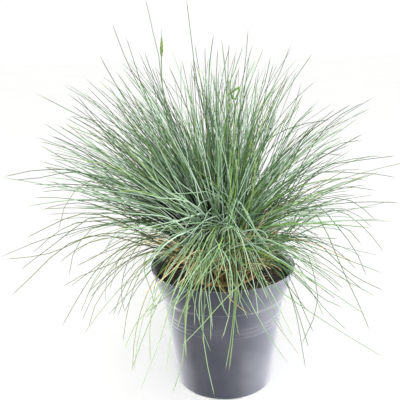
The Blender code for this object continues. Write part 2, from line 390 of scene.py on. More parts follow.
def smooth_line(knots: np.ndarray, stations: int, samples: int = 200) -> np.ndarray:
    """Points evenly along the natural cubic through the knots.

    Its parameter is the distance between knots. Its second derivative at each comes from the
    usual three-term equations.

    Args:
        knots: (knot, 3) points that the line passes through.
        stations: how many points to return.
        samples: how many points it is measured at.

    Returns:
        (station, 3) points at even steps, with a short last one.
    """
    gaps = np.maximum(np.linalg.norm(np.diff(knots, axis=0), axis=1), NOTHING)
    place = np.concatenate([[0], np.cumsum(gaps)])
    count = len(knots)
    terms = np.eye(count)
    right = np.zeros((count, 3))
    for k in range(1, count - 1):
        terms[k, k - 1 : k + 2] = gaps[k - 1], 2 * (gaps[k - 1] + gaps[k]), gaps[k]
        slope = np.diff(knots[k - 1 : k + 2], axis=0) / gaps[k - 1 : k + 1, None]
        right[k] = 6 * (slope[1] - slope[0])
    bend = np.linalg.solve(terms, right)
    fine = np.linspace(0, place[-1], samples)
    k = np.clip(np.searchsorted(place, fine, side="right") - 1, 0, count - 2)
    h = gaps[k][:, None]
    a, b = (place[k + 1] - fine)[:, None] / h, (fine - place[k])[:, None] / h
    line = a * knots[k] + b * knots[k + 1]
    line += ((a**3 - a) * bend[k] + (b**3 - b) * bend[k + 1]) * h * h / 6
    run = np.concatenate([[0], np.cumsum(np.linalg.norm(np.diff(line, axis=0), axis=1))])
    picked = run[-1] * stations_to_tip(stations)
    return np.stack([np.interp(picked, run, line[:, axis]) for axis in range(3)], axis=1)


# ---- camera and studio


def standing(place: Sequence[float], *axes: np.ndarray) -> Matrix:
    """The matrix of an object that stands here with these X, Y and Z axes."""
    rows = [[*(axis[i] for axis in axes), place[i]] for i in range(3)]
    return Matrix(rows + [[0, 0, 0, 1]])


def facing(place: Sequence[float], aim: Sequence[float]) -> Matrix:
    """The matrix of a light at this place that shines at its aim, with its top upwards.

    Args:
        place: where the light stands.
        aim: the point it shines at.

    Returns:
        Its matrix.
    """
    away = unit(np.array(place) - np.array(aim))
    side = unit(np.cross([0.0, 0.0, 1.0], away))
    return standing(place, side, np.cross(away, side), away)


@dataclass(frozen=True)
class PhotoCamera:
    """The camera of the photograph, fitted to the pot's outlines. Pixels are of 400 by 400."""

    place: Spot = (-18.67 * MM, -524.49 * MM, 318.89 * MM)
    pitch: float = math.radians(15.58)
    roll: float = math.radians(-1.73)
    focal_pixels: float = 619.7
    frame_pixels: float = 400.0
    sensor: float = 36.0
    nearest: float = 10 * MM

    def axes(self) -> tuple[np.ndarray, np.ndarray, np.ndarray]:
        """Right, up and forward of the camera.

        Returns:
            Three unit vectors.
        """
        across = np.array([1.0, 0.0, 0.0])
        upward = np.array([0.0, math.sin(self.pitch), math.cos(self.pitch)])
        forward = np.array([0.0, math.cos(self.pitch), -math.sin(self.pitch)])
        c, s = math.cos(self.roll), math.sin(self.roll)
        return c * across + s * upward, c * upward - s * across, forward

    def at_depth(self, pixels: np.ndarray, depth: np.ndarray) -> np.ndarray:
        """The (n, 3) points that these (n, 2) pixels see at these n values of Y.

        Args:
            pixels: places in the photograph, right and down from its corner.
            depth: the Y of each point.

        Returns:
            The points.
        """
        right, up, forward = self.axes()
        offset = (pixels - self.frame_pixels / 2) / self.focal_pixels
        sight = forward + offset[:, :1] * right - offset[:, 1:] * up
        start = np.array(self.place)
        return start + sight * ((depth - start[1]) / sight[:, 1])[:, None]

    def seen(self, points: np.ndarray) -> np.ndarray:
        """The pixel of each point: focal length times its offset over its distance.

        Args:
            points: (..., 3) points.

        Returns:
            (..., 2) pixels.
        """
        right, up, forward = self.axes()
        away = points - np.array(self.place)
        scale = self.focal_pixels / (away @ forward)
        centre = self.frame_pixels / 2
        return np.stack([centre + scale * (away @ right), centre - scale * (away @ up)], axis=-1)

    def add(self) -> None:
        """Create the camera and make it the scene's own."""
        right, up, forward = self.axes()
        camera = put("photo_camera", bpy.data.cameras.new("photo_camera"))
        camera.data.sensor_width = self.sensor
        camera.data.lens = self.sensor * self.focal_pixels / self.frame_pixels
        camera.data.clip_start = self.nearest
        camera.matrix_world = standing(self.place, right, up, -forward)
        bpy.context.scene.camera = camera


@dataclass(frozen=True)
class Softbox:
    """One studio light with a diffusing front; a grid over it narrows its beam to the spread."""

    name: str
    place: Spot
    aim: Spot
    width: float
    height: float
    watts: float
    spread: float = math.pi

    def add(self) -> Piece:
        """Create the light at its place, facing its aim.

        Returns:
            The light.
        """
        light = bpy.data.lights.new(self.name, "AREA")
        light.shape = "RECTANGLE"
        light.size, light.size_y = self.width, self.height
        light.energy, light.spread = self.watts, self.spread
        box = put(self.name, light)
        box.matrix_world = facing(self.place, self.aim)
        return box


LOW_AIM = (0, 0, 0.06)
LEFT_GRID = Softbox("left_grid", (-0.62, 0.42, 0.08), LOW_AIM, 0.3, 0.25, 0.76, math.radians(8))
RIGHT_GRID = Softbox("right_grid", (0.73, 0.15, 0.08), LOW_AIM, 0.5, 0.25, 1.8, math.radians(8))
RIGHT_FILL = Softbox("right_fill", (0.55, -0.48, 0.11), LOW_AIM, 0.3, 0.25, 0.42, math.radians(10))


@dataclass(frozen=True)
class Studio:
    """A pale floor in a white room, with broad lights on the plant and gridded ones on the pot.

    The broad lights come from the left, the right and the front. They are flagged off the floor,
    which the room's own light and a wash from a softbox keep an even white. The gridded boxes
    stand low at both flanks, with a weak fill at the right front, and light the pot alone.
    """

    floor_half: float = 6.0
    room_light: float = 1.02
    broad_lights: tuple[tuple[str, Spot, float], ...] = (
        ("left_light", (-1.0, -0.25, 0.8), 2.6),
        ("right_light", (1.0, -0.05, 0.8), 3.6),
        ("front_light", (-0.2, -1.0, 0.9), 1.3),
    )
    softness: float = math.radians(25)
    softboxes: tuple[Softbox, ...] = (LEFT_GRID, RIGHT_GRID, RIGHT_FILL)
    floor_wash: Softbox = Softbox("floor_wash", (0, -0.9, 0.6), (0, 0, 0), 0.4, 0.4, 5.0)

    def add(self) -> None:
        """Create the room's light, the floor, the three broad lights and the floor's wash."""
        world = bpy.data.worlds.new("white_room")
        world.use_nodes = True
        glow = world.node_tree.nodes["Background"]
        glow.inputs["Color"].default_value = (1, 1, 1, 1)
        glow.inputs["Strength"].default_value = self.room_light
        bpy.context.scene.world = world
        bpy.context.scene.view_settings.view_transform = "Standard"
        mesh = bpy.data.meshes.new("studio_floor")
        corners = [(-1, -1, 0), (1, -1, 0), (1, 1, 0), (-1, 1, 0)]
        mesh.from_pydata(np.array(corners) * self.floor_half, [], [(0, 1, 2, 3)])
        mesh.materials.append(PaintedFloor().build())
        floor = put("studio_floor", mesh)
        flagged = bpy.data.collections.new("flagged_off_the_floor")
        flagged.objects.link(floor)
        flagged.collection_objects[0].light_linking.link_state = "EXCLUDE"
        for name, place, strength in self.broad_lights:
            light = bpy.data.lights.new(name, "SUN")
            light.energy, light.angle = strength, self.softness
            lamp = put(name, light)
            lamp.matrix_world = facing(place, (0, 0, 0))
            lamp.light_linking.receiver_collection = flagged
        self.shine([self.floor_wash], floor)

    @staticmethod
    def shine(softboxes: Sequence[Softbox], *lit: Piece) -> None:
        """Set up softboxes that are flagged off all but these pieces.

        Args:
            softboxes: the lights to set up.
            lit: the pieces that they light.
        """
        beam = bpy.data.collections.new("in_the_beam")
        for piece in lit:
            beam.objects.link(piece)
        for softbox in softboxes:
            softbox.add().light_linking.receiver_collection = beam


# ---- finishes


class Graph:
    """The node tree of one new material, from its Principled shader up."""

    def __init__(self, name: str) -> None:
        """Start the material with its shader and the place of each point on the piece.

        Args:
            name: name of the material.
        """
        self.material = bpy.data.materials.new(name)
        self.material.use_nodes = True
        self.tree = self.material.node_tree
        self.shader = self.tree.nodes["Principled BSDF"]
        self.place = self.add("ShaderNodeTexCoord").outputs["Object"]

    def add(
        self,
        kind: str,
        links: dict[str | int, Socket] | None = None,
        values: dict[str | int, object] | None = None,
        **settings: object,
    ) -> bpy.types.Node:
        """Add a node of this kind.

        Args:
            kind: the node's type name.
            links: output sockets by the name or number of the input that each feeds.
            values: constants by the name or number of their input.
            settings: the node's own properties.

        Returns:
            The new node.
        """
        node = self.tree.nodes.new(kind)
        for key, value in settings.items():
            setattr(node, key, value)
        for key, value in (values or {}).items():
            node.inputs[key].default_value = value
        for key, socket in (links or {}).items():
            self.tree.links.new(socket, node.inputs[key])
        return node

    def noise(self, scale: float, detail: float = 2.0, place: Socket | None = None) -> Socket:
        """Random values over the piece, this many lumps to a metre.

        Args:
            scale: lumps to a metre.
            detail: octaves of finer lumps.
            place: where it is read, if not at the point on the piece.

        Returns:
            Values from 0 to 1.
        """
        links = {"Vector": self.place if place is None else place}
        values = {"Scale": scale, "Detail": detail}
        return self.add("ShaderNodeTexNoise", links, values).outputs["Fac"]

    def ramp(self, source: Socket, stops: Stops) -> Socket:
        """Colours by a number: a ramp with these (place, hex colour) stops.

        Args:
            source: the number.
            stops: places from 0 to 1 and their colours.

        Returns:
            The colour.
        """
        node = self.add("ShaderNodeValToRGB", {"Fac": source})
        elements = node.color_ramp.elements
        while len(elements) < len(stops):
            elements.new(1.0)
        for element, (place, code) in zip(elements, stops):
            element.position = place
            element.color = linear(code)
        return node.outputs["Color"]

    def laid_over(self, colour: Socket, share: Socket, code: str) -> Socket:
        """The colour, with a share of this plain one laid over it.

        Args:
            colour: the colour below.
            share: how much of it the plain one covers.
            code: the plain colour.

        Returns:
            The colour that they make.
        """
        plain = self.add("ShaderNodeRGB")
        plain.outputs[0].default_value = linear(code)
        return self.mix(share, colour, plain.outputs[0])

    def mix(self, share: Socket, first: Socket, second: Socket) -> Socket:
        """The first colour, with a share of the second laid over it."""
        links = {"Factor": share, "A": first, "B": second}
        return self.add("ShaderNodeMix", links, data_type="RGBA").outputs["Result"]

    def maths(self, operation: str, first: Socket, second: Socket) -> Socket:
        """Two numbers put together by this operation."""
        return self.add("ShaderNodeMath", {0: first, 1: second}, operation=operation).outputs[0]

    def product(self, *numbers: Socket) -> Socket:
        """All these numbers multiplied together.

        Args:
            numbers: the factors.

        Returns:
            Their product.
        """
        whole = numbers[0]
        for number in numbers[1:]:
            whole = self.maths("MULTIPLY", whole, number)
        return whole

    def mark(self, name: str) -> Socket:
        """A number that the mesh carries on its points."""
        return self.add("ShaderNodeAttribute", attribute_name=name).outputs["Fac"]

    def remap(self, source: Socket, start: Span, to: Span) -> Socket:
        """A number carried evenly from one range to another, held at its ends."""
        values = dict(zip(("From Min", "From Max", "To Min", "To Max"), (*start, *to)))
        return self.add("ShaderNodeMapRange", {"Value": source}, values).outputs["Result"]

    def relief(self, height: Socket, strength: float, depth_mm: float) -> Socket:
        """The normal of a surface with this fine relief."""
        values = {"Strength": strength, "Distance": depth_mm * MM}
        return self.add("ShaderNodeBump", {"Height": height}, values).outputs["Normal"]

    def dress(self, links: dict[str, Socket], values: dict[str, object]) -> Material:
        """Feed the shader's inputs with sockets and constants, and give the finished material.

        Args:
            links: sockets by the name of the input that each feeds.
            values: constants by the name of their input.

        Returns:
            The material.
        """
        for name, socket in links.items():
            self.tree.links.new(socket, self.shader.inputs[name])
        for name, value in values.items():
            self.shader.inputs[name].default_value = value
        return self.material


@dataclass(frozen=True)
class Gloss:
    """How a surface shines: its index and level, and its sheen's weight, roughness and tint."""

    ior: float
    shine: float
    sheen: float
    sheen_roughness: float
    tint: str

    def values(self) -> dict[str, object]:
        """The constants of the shader for it.

        Returns:
            Numbers by the name of their input.
        """
        names = ("IOR", "Specular IOR Level", "Sheen Weight", "Sheen Roughness", "Sheen Tint")
        numbers = (self.ior, self.shine, self.sheen, self.sheen_roughness, linear(self.tint))
        return dict(zip(names, numbers))


@dataclass(frozen=True)
class PaintedFloor:
    """Matt white painted studio floor: pale, with no shine and the faintest mottle."""

    mottle: Stops = ((0.3, "#FBFBFA"), (0.7, "#FDFDFC"))
    mottle_per_metre: float = 3.0
    roughness: float = 0.9
    shine: float = 0.2

    def build(self) -> Material:
        """Make the material.

        Returns:
            The material.
        """
        graph = Graph("matt_painted_floor")
        colour = graph.ramp(graph.noise(self.mottle_per_metre), self.mottle)
        values = {"Roughness": self.roughness, "Specular IOR Level": self.shine}
        return graph.dress({"Base Color": colour}, values)


@dataclass(frozen=True)
class MouldedPolypropylene:
    """Slate grey recycled polypropylene, injection moulded against a finely blasted tool.

    The eye gets a cool grey with a broad soft shine, a fine grain, faint upright draw marks from
    the tool and a thin veil of dust.
    """

    clouds: Stops = ((0.35, "#292B34"), (0.65, "#2D2F39"))
    clouds_per_metre: float = 28.0
    dust: str = "#8E8C88"
    dusty: Span = (0.45, 0.75)  # the range of the clouds over which the dust comes in
    most_dust: float = 0.08
    grain_mm: float = 0.7  # the tool's grain is 0.1 mm, too fine to show here
    draw_mark_mm: float = 2.5
    draw_mark_stretch: Spot = (1.0, 1.0, 0.05)
    roughness: Span = (0.52, 0.62)
    relief: Span = (0.25, 0.08)  # strength, and depth in mm
    gloss: Gloss = Gloss(1.49, 0.3, 0.7, 0.35, "#F2F2F6")

    def build(self) -> Material:
        """Make the material.

        Returns:
            The material.
        """
        graph = Graph("moulded_slate_polypropylene")
        cloud = graph.noise(self.clouds_per_metre, 3.0)
        share = graph.remap(cloud, self.dusty, (0.0, self.most_dust))
        colour = graph.laid_over(graph.ramp(cloud, self.clouds), share, self.dust)
        grain = graph.noise(1 / (self.grain_mm * MM))
        links, values = {"Vector": graph.place}, {"Scale": self.draw_mark_stretch}
        upright = graph.add("ShaderNodeMapping", links, values).outputs["Vector"]
        marks = graph.noise(1 / (self.draw_mark_mm * MM), place=upright)
        links = {
            "Base Color": colour,
            "Roughness": graph.remap(marks, (0.3, 0.7), self.roughness),
            "Normal": graph.relief(graph.maths("ADD", marks, grain), *self.relief),
        }
        return graph.dress(links, self.gloss.values())


@dataclass(frozen=True)
class PeatCompost:
    """Damp milled peat with bark and grit: near black, matt, with brown crumbs and pale flecks.

    The mark "kind" runs from 0, black peat, over brown bark to 1, pale grit and wood.
    """

    kinds: Stops = (
        (0.0, "#100C0A"),
        (0.45, "#231913"),
        (0.72, "#483426"),
        (0.9, "#82644A"),
        (1.0, "#C2B199"),
    )
    crumb_mm: float = 0.9
    crumb_swing: Span = (-0.12, 0.3)  # how far crumbs stray in kind
    patches_per_metre: float = 130.0
    patch_swing: Span = (-0.08, 0.12)
    roughness: Span = (0.6, 0.95)
    relief: Span = (0.7, 0.4)  # strength, and depth in mm

    def build(self) -> Material:
        """Make the material.

        Returns:
            The material.
        """
        graph = Graph("damp_peat_compost")
        crumb = graph.noise(1 / (self.crumb_mm * MM), 3.0)
        patch = graph.noise(self.patches_per_metre, 3.0)
        swing = graph.remap(crumb, (0.3, 0.72), self.crumb_swing)
        drift = graph.remap(patch, (0.35, 0.7), self.patch_swing)
        kind = graph.maths("ADD", graph.maths("ADD", swing, drift), graph.mark("kind"))
        links = {
            "Base Color": graph.ramp(kind, self.kinds),
            "Roughness": graph.remap(patch, (0.3, 0.7), self.roughness),
            "Normal": graph.relief(crumb, *self.relief),
        }
        return graph.dress(links, {})


@dataclass(frozen=True)
class FescueLeaf:
    """A living fescue needle: a tightly folded leaf with a waxy bloom over its green.

    The eye gets thin grey-green strokes, some bluer where the bloom is whole and some fresh
    yellow-green, with a pale sheath at the foot, fine ribs along the leaf and a dry point.
    Marks: "tone" 0 glaucous to 1 yellow-green, "light" 0 dark to 1 pale, "dry" 0 living to 1
    straw, "along" from foot to tip, "emerge" where along it the leaf comes out of the clump,
    "across" round the leaf. A pair of spans carries the first range of a number to the second.
    The shade inside the clump is painted: leaves are darker about a point within it, the more
    where they have not yet come out, and they have little pale bloom before that.
    """

    name: str = "waxy_fescue_leaf"
    tones: Stops = (
        (0.0, "#739578"),
        (0.35, "#66895D"),
        (0.7, "#5A7F43"),
        (0.86, "#6E9440"),
        (1.0, "#8BA64B"),
    )
    straws: Stops = ((0.0, "#765A3E"), (0.35, "#A08257"), (0.7, "#BCA074"), (1.0, "#CDBB90"))
    streak_mm: float = 7.0
    streak_swing: float = 0.12  # how far streaks stray in tone
    sheath: str = "#B7B58A"  # over the green, by the share of the leaf passed
    sheathed: tuple[Span, Span] = ((0.02, 0.12), (0.8, 0.0))
    dull: str = "#6E7269"
    dulled: tuple[Span, Span] = ((0.6, 1.0), (0.0, 0.4))
    dry_point: tuple[Span, Span] = ((0.95, 1.0), (0.0, 0.35))
    wax: str = "#C2CEC4"
    waxed: tuple[tuple[str, Span, Span], ...] = (
        ("light", (0.45, 1.0), (0.0, 0.74)),  # pale leaves are those with a whole bloom
        ("dry", (0.0, 0.5), (1.0, 0.0)),
        ("tone", (0.35, 0.85), (1.0, 0.15)),
        ("along", (0.45, 0.85), (1.0, 0.3)),  # the bloom wears off towards the tip
    )
    emerging: tuple[Span, Span] = ((-0.05, 0.15), (0.1, 1.0))  # past the place where it comes out; before it the leaf is painted as in shade
    painted_shade_centre: Spot = (-33 * MM, -4 * MM, 158 * MM)  # painted shade: leaves are painted darkest about this point inside the clump
    # the painted shade is whole within the first radius and gone beyond the second
    painted_shade_radii: Span = (23 * MM, 56 * MM)
    spared: Span = (0.3, 0.8)  # of light: from none to all of a leaf's brightness stays in the painted shade
    brightness: Span = (0.26, 1.55)
    roughness: float = 0.5
    ribs: float = 4.0  # ribs on each flank of the leaf
    relief: Span = (0.3, 0.03)  # strength, and depth in mm
    gloss: Gloss = Gloss(1.42, 0.15, 0.04, 0.5, "#E4EEE8")

    def build(self) -> Material:
        """Make the material.

        Returns:
            The material.
        """
        graph = Graph(self.name)
        along, dry, light = (graph.mark(name) for name in ("along", "dry", "light"))
        streak = graph.noise(1 / (self.streak_mm * MM), 3.0)
        drift = graph.remap(streak, (0.3, 0.7), (-self.streak_swing, self.streak_swing))
        tone = graph.maths("ADD", graph.mark("tone"), drift)
        straw = graph.ramp(graph.maths("ADD", light, drift), self.straws)
        colour = graph.ramp(tone, self.tones)
        colour = graph.laid_over(colour, graph.remap(along, *self.sheathed), self.sheath)
        colour = graph.laid_over(colour, graph.remap(along, *self.dulled), self.dull)
        spent = graph.maths("MAXIMUM", dry, graph.remap(along, *self.dry_point))
        colour = graph.mix(spent, colour, straw)
        # painted shade: the part of a leaf still inside the clump has little pale bloom and is
        # darker
        past = graph.maths("SUBTRACT", along, graph.mark("emerge"))
        clear = graph.remap(past, *self.emerging)
        marks = {"light": light, "dry": dry, "tone": tone, "along": along}
        bloom = [graph.remap(marks[name], start, to) for name, start, to in self.waxed]
        colour = graph.laid_over(colour, graph.product(*bloom, clear), self.wax)
        value = graph.remap(light, (0.0, 1.0), self.brightness)
        # painted shade: brightness falls about a point inside the clump
        value = graph.product(value, self.shaded(graph, graph.product(light, clear)))
        links = {"Value": value, "Color": colour}
        colour = graph.add("ShaderNodeHueSaturation", links).outputs["Color"]
        links, values = {0: graph.mark("across")}, {1: self.ribs * math.pi}
        wave = graph.add("ShaderNodeMath", links, values, operation="MULTIPLY").outputs[0]
        ribs = graph.add("ShaderNodeMath", {0: wave}, operation="SINE").outputs[0]
        links = {"Base Color": colour, "Normal": graph.relief(ribs, *self.relief)}
        return graph.dress(links, {"Roughness": self.roughness, **self.gloss.values()})

    def shaded(self, graph: Graph, light: Socket) -> Socket:
        """The share of its brightness that a leaf of this light keeps in the painted shade inside
        the clump.

        Args:
            graph: the nodes of the material.
            light: how light the leaf is here.

        Returns:
            A share from 0 to 1.
        """
        links, values = {0: graph.place}, {1: self.painted_shade_centre}
        away = graph.add("ShaderNodeVectorMath", links, values, operation="DISTANCE")
        opened = graph.remap(away.outputs["Value"], self.painted_shade_radii, (0.0, 1.0))
        links = {"Factor": opened, "A": graph.remap(light, self.spared, (0.0, 1.0))}
        return graph.add("ShaderNodeMix", links, {"B": 1.0}).outputs["Result"]


# ---- the pot


def keep(piece: Piece, slot: str, *nodes: str) -> Piece:
    """Let a piece ride with the plant, and hide the CAD nodes that it stands for.

    Args:
        piece: the piece.
        slot: the slot of its finish; not used.
        nodes: the CAD nodes that it stands for.

    Returns:
        The same piece.
    """
    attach(piece, BODY)
    if nodes:
        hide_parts(*nodes)
    return piece


def arc(across: float, height: float, size: float, turns: Span, steps: int) -> list[Span]:
    """Points of a section along an arc: its centre and radius, its first and last turn."""
    turn = np.linspace(*turns, steps)
    return list(zip(across + size * np.cos(turn), height + size * np.sin(turn)))


@dataclass(frozen=True)
class Pot:
    """The moulded pot: tapered wall with three fine rings, ledge, flared collar, foot, drains."""

    height: float = 113 * MM
    rim_radius: float = 65 * MM
    base_radius: float = 43 * MM
    wall: float = 1.3 * MM
    collar_height: float = 25.4 * MM
    collar_foot_radius: float = 56.8 * MM
    ledge: float = 1.4 * MM
    ledge_rounding: float = 0.45  # of the ledge
    rim_rounding: float = 0.65 * MM
    ring_heights: Spot = (64.0 * MM, 68.2 * MM, 72.4 * MM)
    ring_depth: float = 0.32 * MM
    ring_half_width: float = 1.25 * MM
    ring_steps: int = 4  # stations over half a ring's width
    floor: float = 2.4 * MM
    foot_rounding: float = 1.6 * MM
    pad_radius: float = 15 * MM
    recess: float = 1.0 * MM
    foot_ring: float = 8 * MM
    drain_holes: int = 6
    drain_radius: float = 3.5 * MM
    drain_circle: float = 25 * MM
    drain_segments: int = 24
    segments: int = 224
    crisp: float = 38.0  # edges that turn by more degrees than this stay crisp

    @property
    def collar_foot(self) -> float:
        """Height at which the collar starts."""
        return self.height - self.collar_height

    def outside(self, height: np.ndarray | float) -> np.ndarray | float:
        """Outside radius of the straight wall below the collar."""
        top = self.collar_foot_radius - self.ledge
        return self.base_radius + (top - self.base_radius) * height / self.collar_foot

    def inside(self, height: float) -> float:
        """Inside radius of the wall and collar, which the compost fills.

        Args:
            height: height above the ground.

        Returns:
            The radius there.
        """
        start = self.outside(self.collar_foot) - self.wall
        if height <= self.collar_foot:
            return self.outside(height) - self.wall
        flare = (self.rim_radius - self.wall - start) * (height - self.collar_foot)
        return start + flare / self.collar_height

    def section(self) -> tuple[np.ndarray, np.ndarray]:
        """The pot's section, from the middle of the underside round to the middle of the floor.

        Its corners are quarter turns of a circle, and its rings are cut as a cosine's whole wave.

        Returns:
            Radii and heights of its points.
        """
        foot_inside = self.base_radius - self.foot_ring
        under = [
            (0, 0),
            (self.pad_radius, 0),
            (self.pad_radius + self.recess, self.recess),
            (foot_inside - self.recess, self.recess),
            (foot_inside, 0),
        ]
        size = self.foot_rounding
        quarter = (-np.pi / 2, 0)
        foot = arc(self.outside(size) - size, size, size, quarter, steps=6)
        step = self.ring_half_width / self.ring_steps
        past = 2 * self.ring_half_width
        fine = np.arange(self.ring_heights[0] - past, self.ring_heights[-1] + past, step)
        coarse = np.linspace(size, self.ring_heights[0], 12)[1:-2]
        above = np.linspace(fine[-1], self.collar_foot - self.ledge, 5)[1:]
        heights = np.concatenate([coarse, fine, above])
        radii = self.outside(heights)
        for ring in self.ring_heights:
            share = np.clip(np.abs(heights - ring) / self.ring_half_width, 0, 1)
            radii = radii - self.ring_depth * (1 + np.cos(np.pi * share)) / 2
        size = self.ledge * self.ledge_rounding
        across = self.collar_foot_radius - size
        ledge = arc(across, self.collar_foot + size, size, quarter, steps=5)
        size = self.rim_rounding
        rim = arc(self.rim_radius - size, self.height - size, size, (0, np.pi), steps=9)
        inside = [(self.inside(height), height) for height in (self.collar_foot, self.floor)]
        wall = list(zip(radii, heights))
        points = np.array(under + foot + wall + ledge + rim + inside + [(0, self.floor)])
        return points[:, 0], points[:, 1]

    def pegs(self) -> Surface:
        """The pegs that the drain holes are cut with, from below the floor to above it.

        Returns:
            Closed pegs, one for each hole.
        """
        radii = np.array([0, self.drain_radius, self.drain_radius, 0])
        heights = np.array([-2, -2, 3, 3]) * self.floor
        pegs = []
        for hole in range(self.drain_holes):
            peg = lathe(radii, heights, self.drain_segments)
            turn = 2 * np.pi * (hole + 0.5) / self.drain_holes
            peg.points[:, :2] += polar(self.drain_circle, turn)
            pegs.append(peg)
        return joined(pegs)

    def build(self, finish: Material) -> Piece:
        """Turn the section, cut the drain holes and dress the pot in its plastic.

        Args:
            finish: the plastic.

        Returns:
            The pot.
        """
        pot = lathe(*self.section(), self.segments).to_piece("pot_shell", finish, self.crisp)
        cutter = self.pegs().to_piece("drain_pegs", finish, self.crisp)
        cut = pot.modifiers.new("drains", "BOOLEAN")
        cut.operation, cut.solver, cut.object = "DIFFERENCE", "EXACT", cutter
        seen = pot.evaluated_get(bpy.context.evaluated_depsgraph_get())
        drilled = bpy.data.meshes.new_from_object(seen)
        pot.modifiers.clear()
        pot.data = drilled
        pot.data.name = pot.name
        bpy.data.objects.remove(cutter, do_unlink=True)
        return keep(pot, "pot", "pot")


# ---- compost


@dataclass
class Compost:
    """The compost: a crumbly bed just below the rim, with bark, grit and root fibres on it.

    A kind runs from 0, black peat, to 1, pale grit and wood.
    """

    pot: Pot
    crown_radius: float
    rng: np.random.Generator
    below_rim: float = 10 * MM
    seat_depth: float = 9 * MM
    gap: float = 0.3 * MM
    rough: float = 1.1 * MM
    fade: Span = (3 * MM, 1 * MM)  # over which the lumps come in from the seat and from the wall
    segments: int = 208
    rings: int = 34
    kind: float = 0.16
    crisp: float = 70.0  # edges that turn by more degrees than this stay crisp
    crumbs: int = 1500
    crumb_half_mm: Spot = (0.22, 3.0, 0.16)  # the least, and the two numbers of a gamma
    crumb_squash: Span = (0.45, 1.0)
    crumb_dent: Span = (0.8, 1.15)
    crumb_kind: Spot = (1.2, 2.6, 0.95)  # the two numbers of a beta, and the most
    grit: float = 0.035  # the share of crumbs that are pale grit
    fibres: int = 170
    fibre_length_mm: Span = (3, 11)
    fibre_lift_mm: Spot = (0.25, 0.3, 1.4)  # at the ends, and the range at the middle
    fibre_width_mm: Span = (0.18, 0.5)
    fibre_kind: Span = (0.55, 1.0)
    ground: Lumps = field(init=False)
    pebble: Lumps = field(init=False)

    def __post_init__(self) -> None:
        """Draw the ground's lumps once, for the bed and for what lies on it."""
        self.ground = Lumps(6.5 * MM, self.rng)
        self.pebble = Lumps(1.7 * MM, self.rng, 96)

    @property
    def top(self) -> float:
        """Height of the bed before its lumps."""
        return self.pot.height - self.below_rim

    @property
    def edge(self) -> float:
        """Radius of the bed's top."""
        return self.pot.inside(self.top) - self.gap

    def surface(self, x: np.ndarray, y: np.ndarray) -> np.ndarray:
        """Height of the bed: broad lumps and small ones half as high, none at seat or wall.

        Args:
            x: X of each point.
            y: Y of each point.

        Returns:
            A height for each point.
        """
        away = np.hypot(x, y)
        from_seat, from_wall = self.fade
        fade = smoothstep((away - self.crown_radius) / from_seat)
        fade = fade * smoothstep((self.edge - away) / from_wall)
        lumps = self.rough * self.ground.at(x, y) + 0.5 * self.rough * self.pebble.at(x, y)
        return self.top + lumps * fade

    def scatter(self, count: int, from_seat: float, from_wall: float) -> np.ndarray:
        """Random (x, y) places, even over the bed from the seat to the wall.

        Args:
            count: how many.
            from_seat: least distance from the crown.
            from_wall: least distance from the pot's wall.

        Returns:
            (count, 2) places.
        """
        least, most = self.crown_radius + from_seat, self.pot.inside(self.top) - from_wall
        away = np.sqrt(self.rng.uniform(least**2, most**2, count))
        return polar(away, self.rng.uniform(0, 2 * np.pi, count))

    def bed(self) -> Surface:
        """The closed bed: walls and floor inside the pot, a lumpy top and a seat for the crown.

        Returns:
            The bed, with its mark "kind".
        """
        bottom = self.pot.floor + self.gap
        foot = self.pot.collar_foot
        seat = self.crown_radius + self.gap
        below = [self.pot.inside(height) - self.gap for height in (bottom, foot)]
        radii = [0, *below, *np.linspace(self.edge, seat, self.rings), seat, 0]
        sunk = [self.top - self.seat_depth] * 2
        heights = [bottom, bottom, foot, *np.full(self.rings, self.top), *sunk]
        shell = lathe(np.array(radii), np.array(heights), self.segments)
        x, y, z = shell.points.T
        shell.points[:, 2] = np.where(np.abs(z - self.top) < self.gap, self.surface(x, y), z)
        shell.marks["kind"] = np.full(len(shell.points), self.kind)
        return shell

    def crumb_bed(self) -> Surface:
        """Crumbs: icosahedra with dented corners, squashed, sized and turned at random.

        Returns:
            The grains, with their mark "kind".
        """
        golden = (1 + math.sqrt(5)) / 2
        signs = [(s, t) for s in (-1, 1) for t in (-1, 1)]
        corners = np.array(
            [(s, t * golden, 0) for s, t in signs]
            + [(0, s, t * golden) for s, t in signs]
            + [(t * golden, 0, s) for s, t in signs]
        )
        corners /= np.linalg.norm(corners[0])
        near = np.linalg.norm(corners[:, None] - corners[None], axis=-1) < 1.1  # an edge is 1.05
        faces = [
            face if np.linalg.det(corners[list(face)]) > 0 else face[::-1]
            for face in combinations(range(len(corners)), 3)
            if all(near[pair] for pair in combinations(face, 2))
        ]
        count = self.crumbs
        spin = np.linalg.qr(self.rng.normal(size=(count, 3, 3)))[0]
        spin *= np.sign(np.linalg.det(spin))[:, None, None]
        least, *gamma = self.crumb_half_mm
        size = least + self.rng.gamma(*gamma, (count, 1))
        half = size * self.rng.uniform(*self.crumb_squash, (count, 3)) * MM
        dent = self.rng.uniform(*self.crumb_dent, (count, len(corners), 1))
        grains = np.einsum("nij,nkj->nki", spin, corners * dent * half[:, None, :])
        x, y = self.scatter(count, 1 * MM, 2 * MM).T
        z = self.surface(x, y) + half.mean(axis=1) / 4
        grains += np.stack([x, y, z], axis=-1)[:, None, :]
        *beta, most = self.crumb_kind
        kind = self.rng.beta(*beta, count) * most
        kind[self.rng.random(count) < self.grit] = 1.0
        start = (np.arange(count) * len(corners))[:, None, None]
        triangles = (start + np.array(faces)).reshape(-1, 3)
        marks = {"kind": np.repeat(kind, len(corners))}
        return Surface(grains.reshape(-1, 3), np.zeros((0, 4), int), triangles, marks)

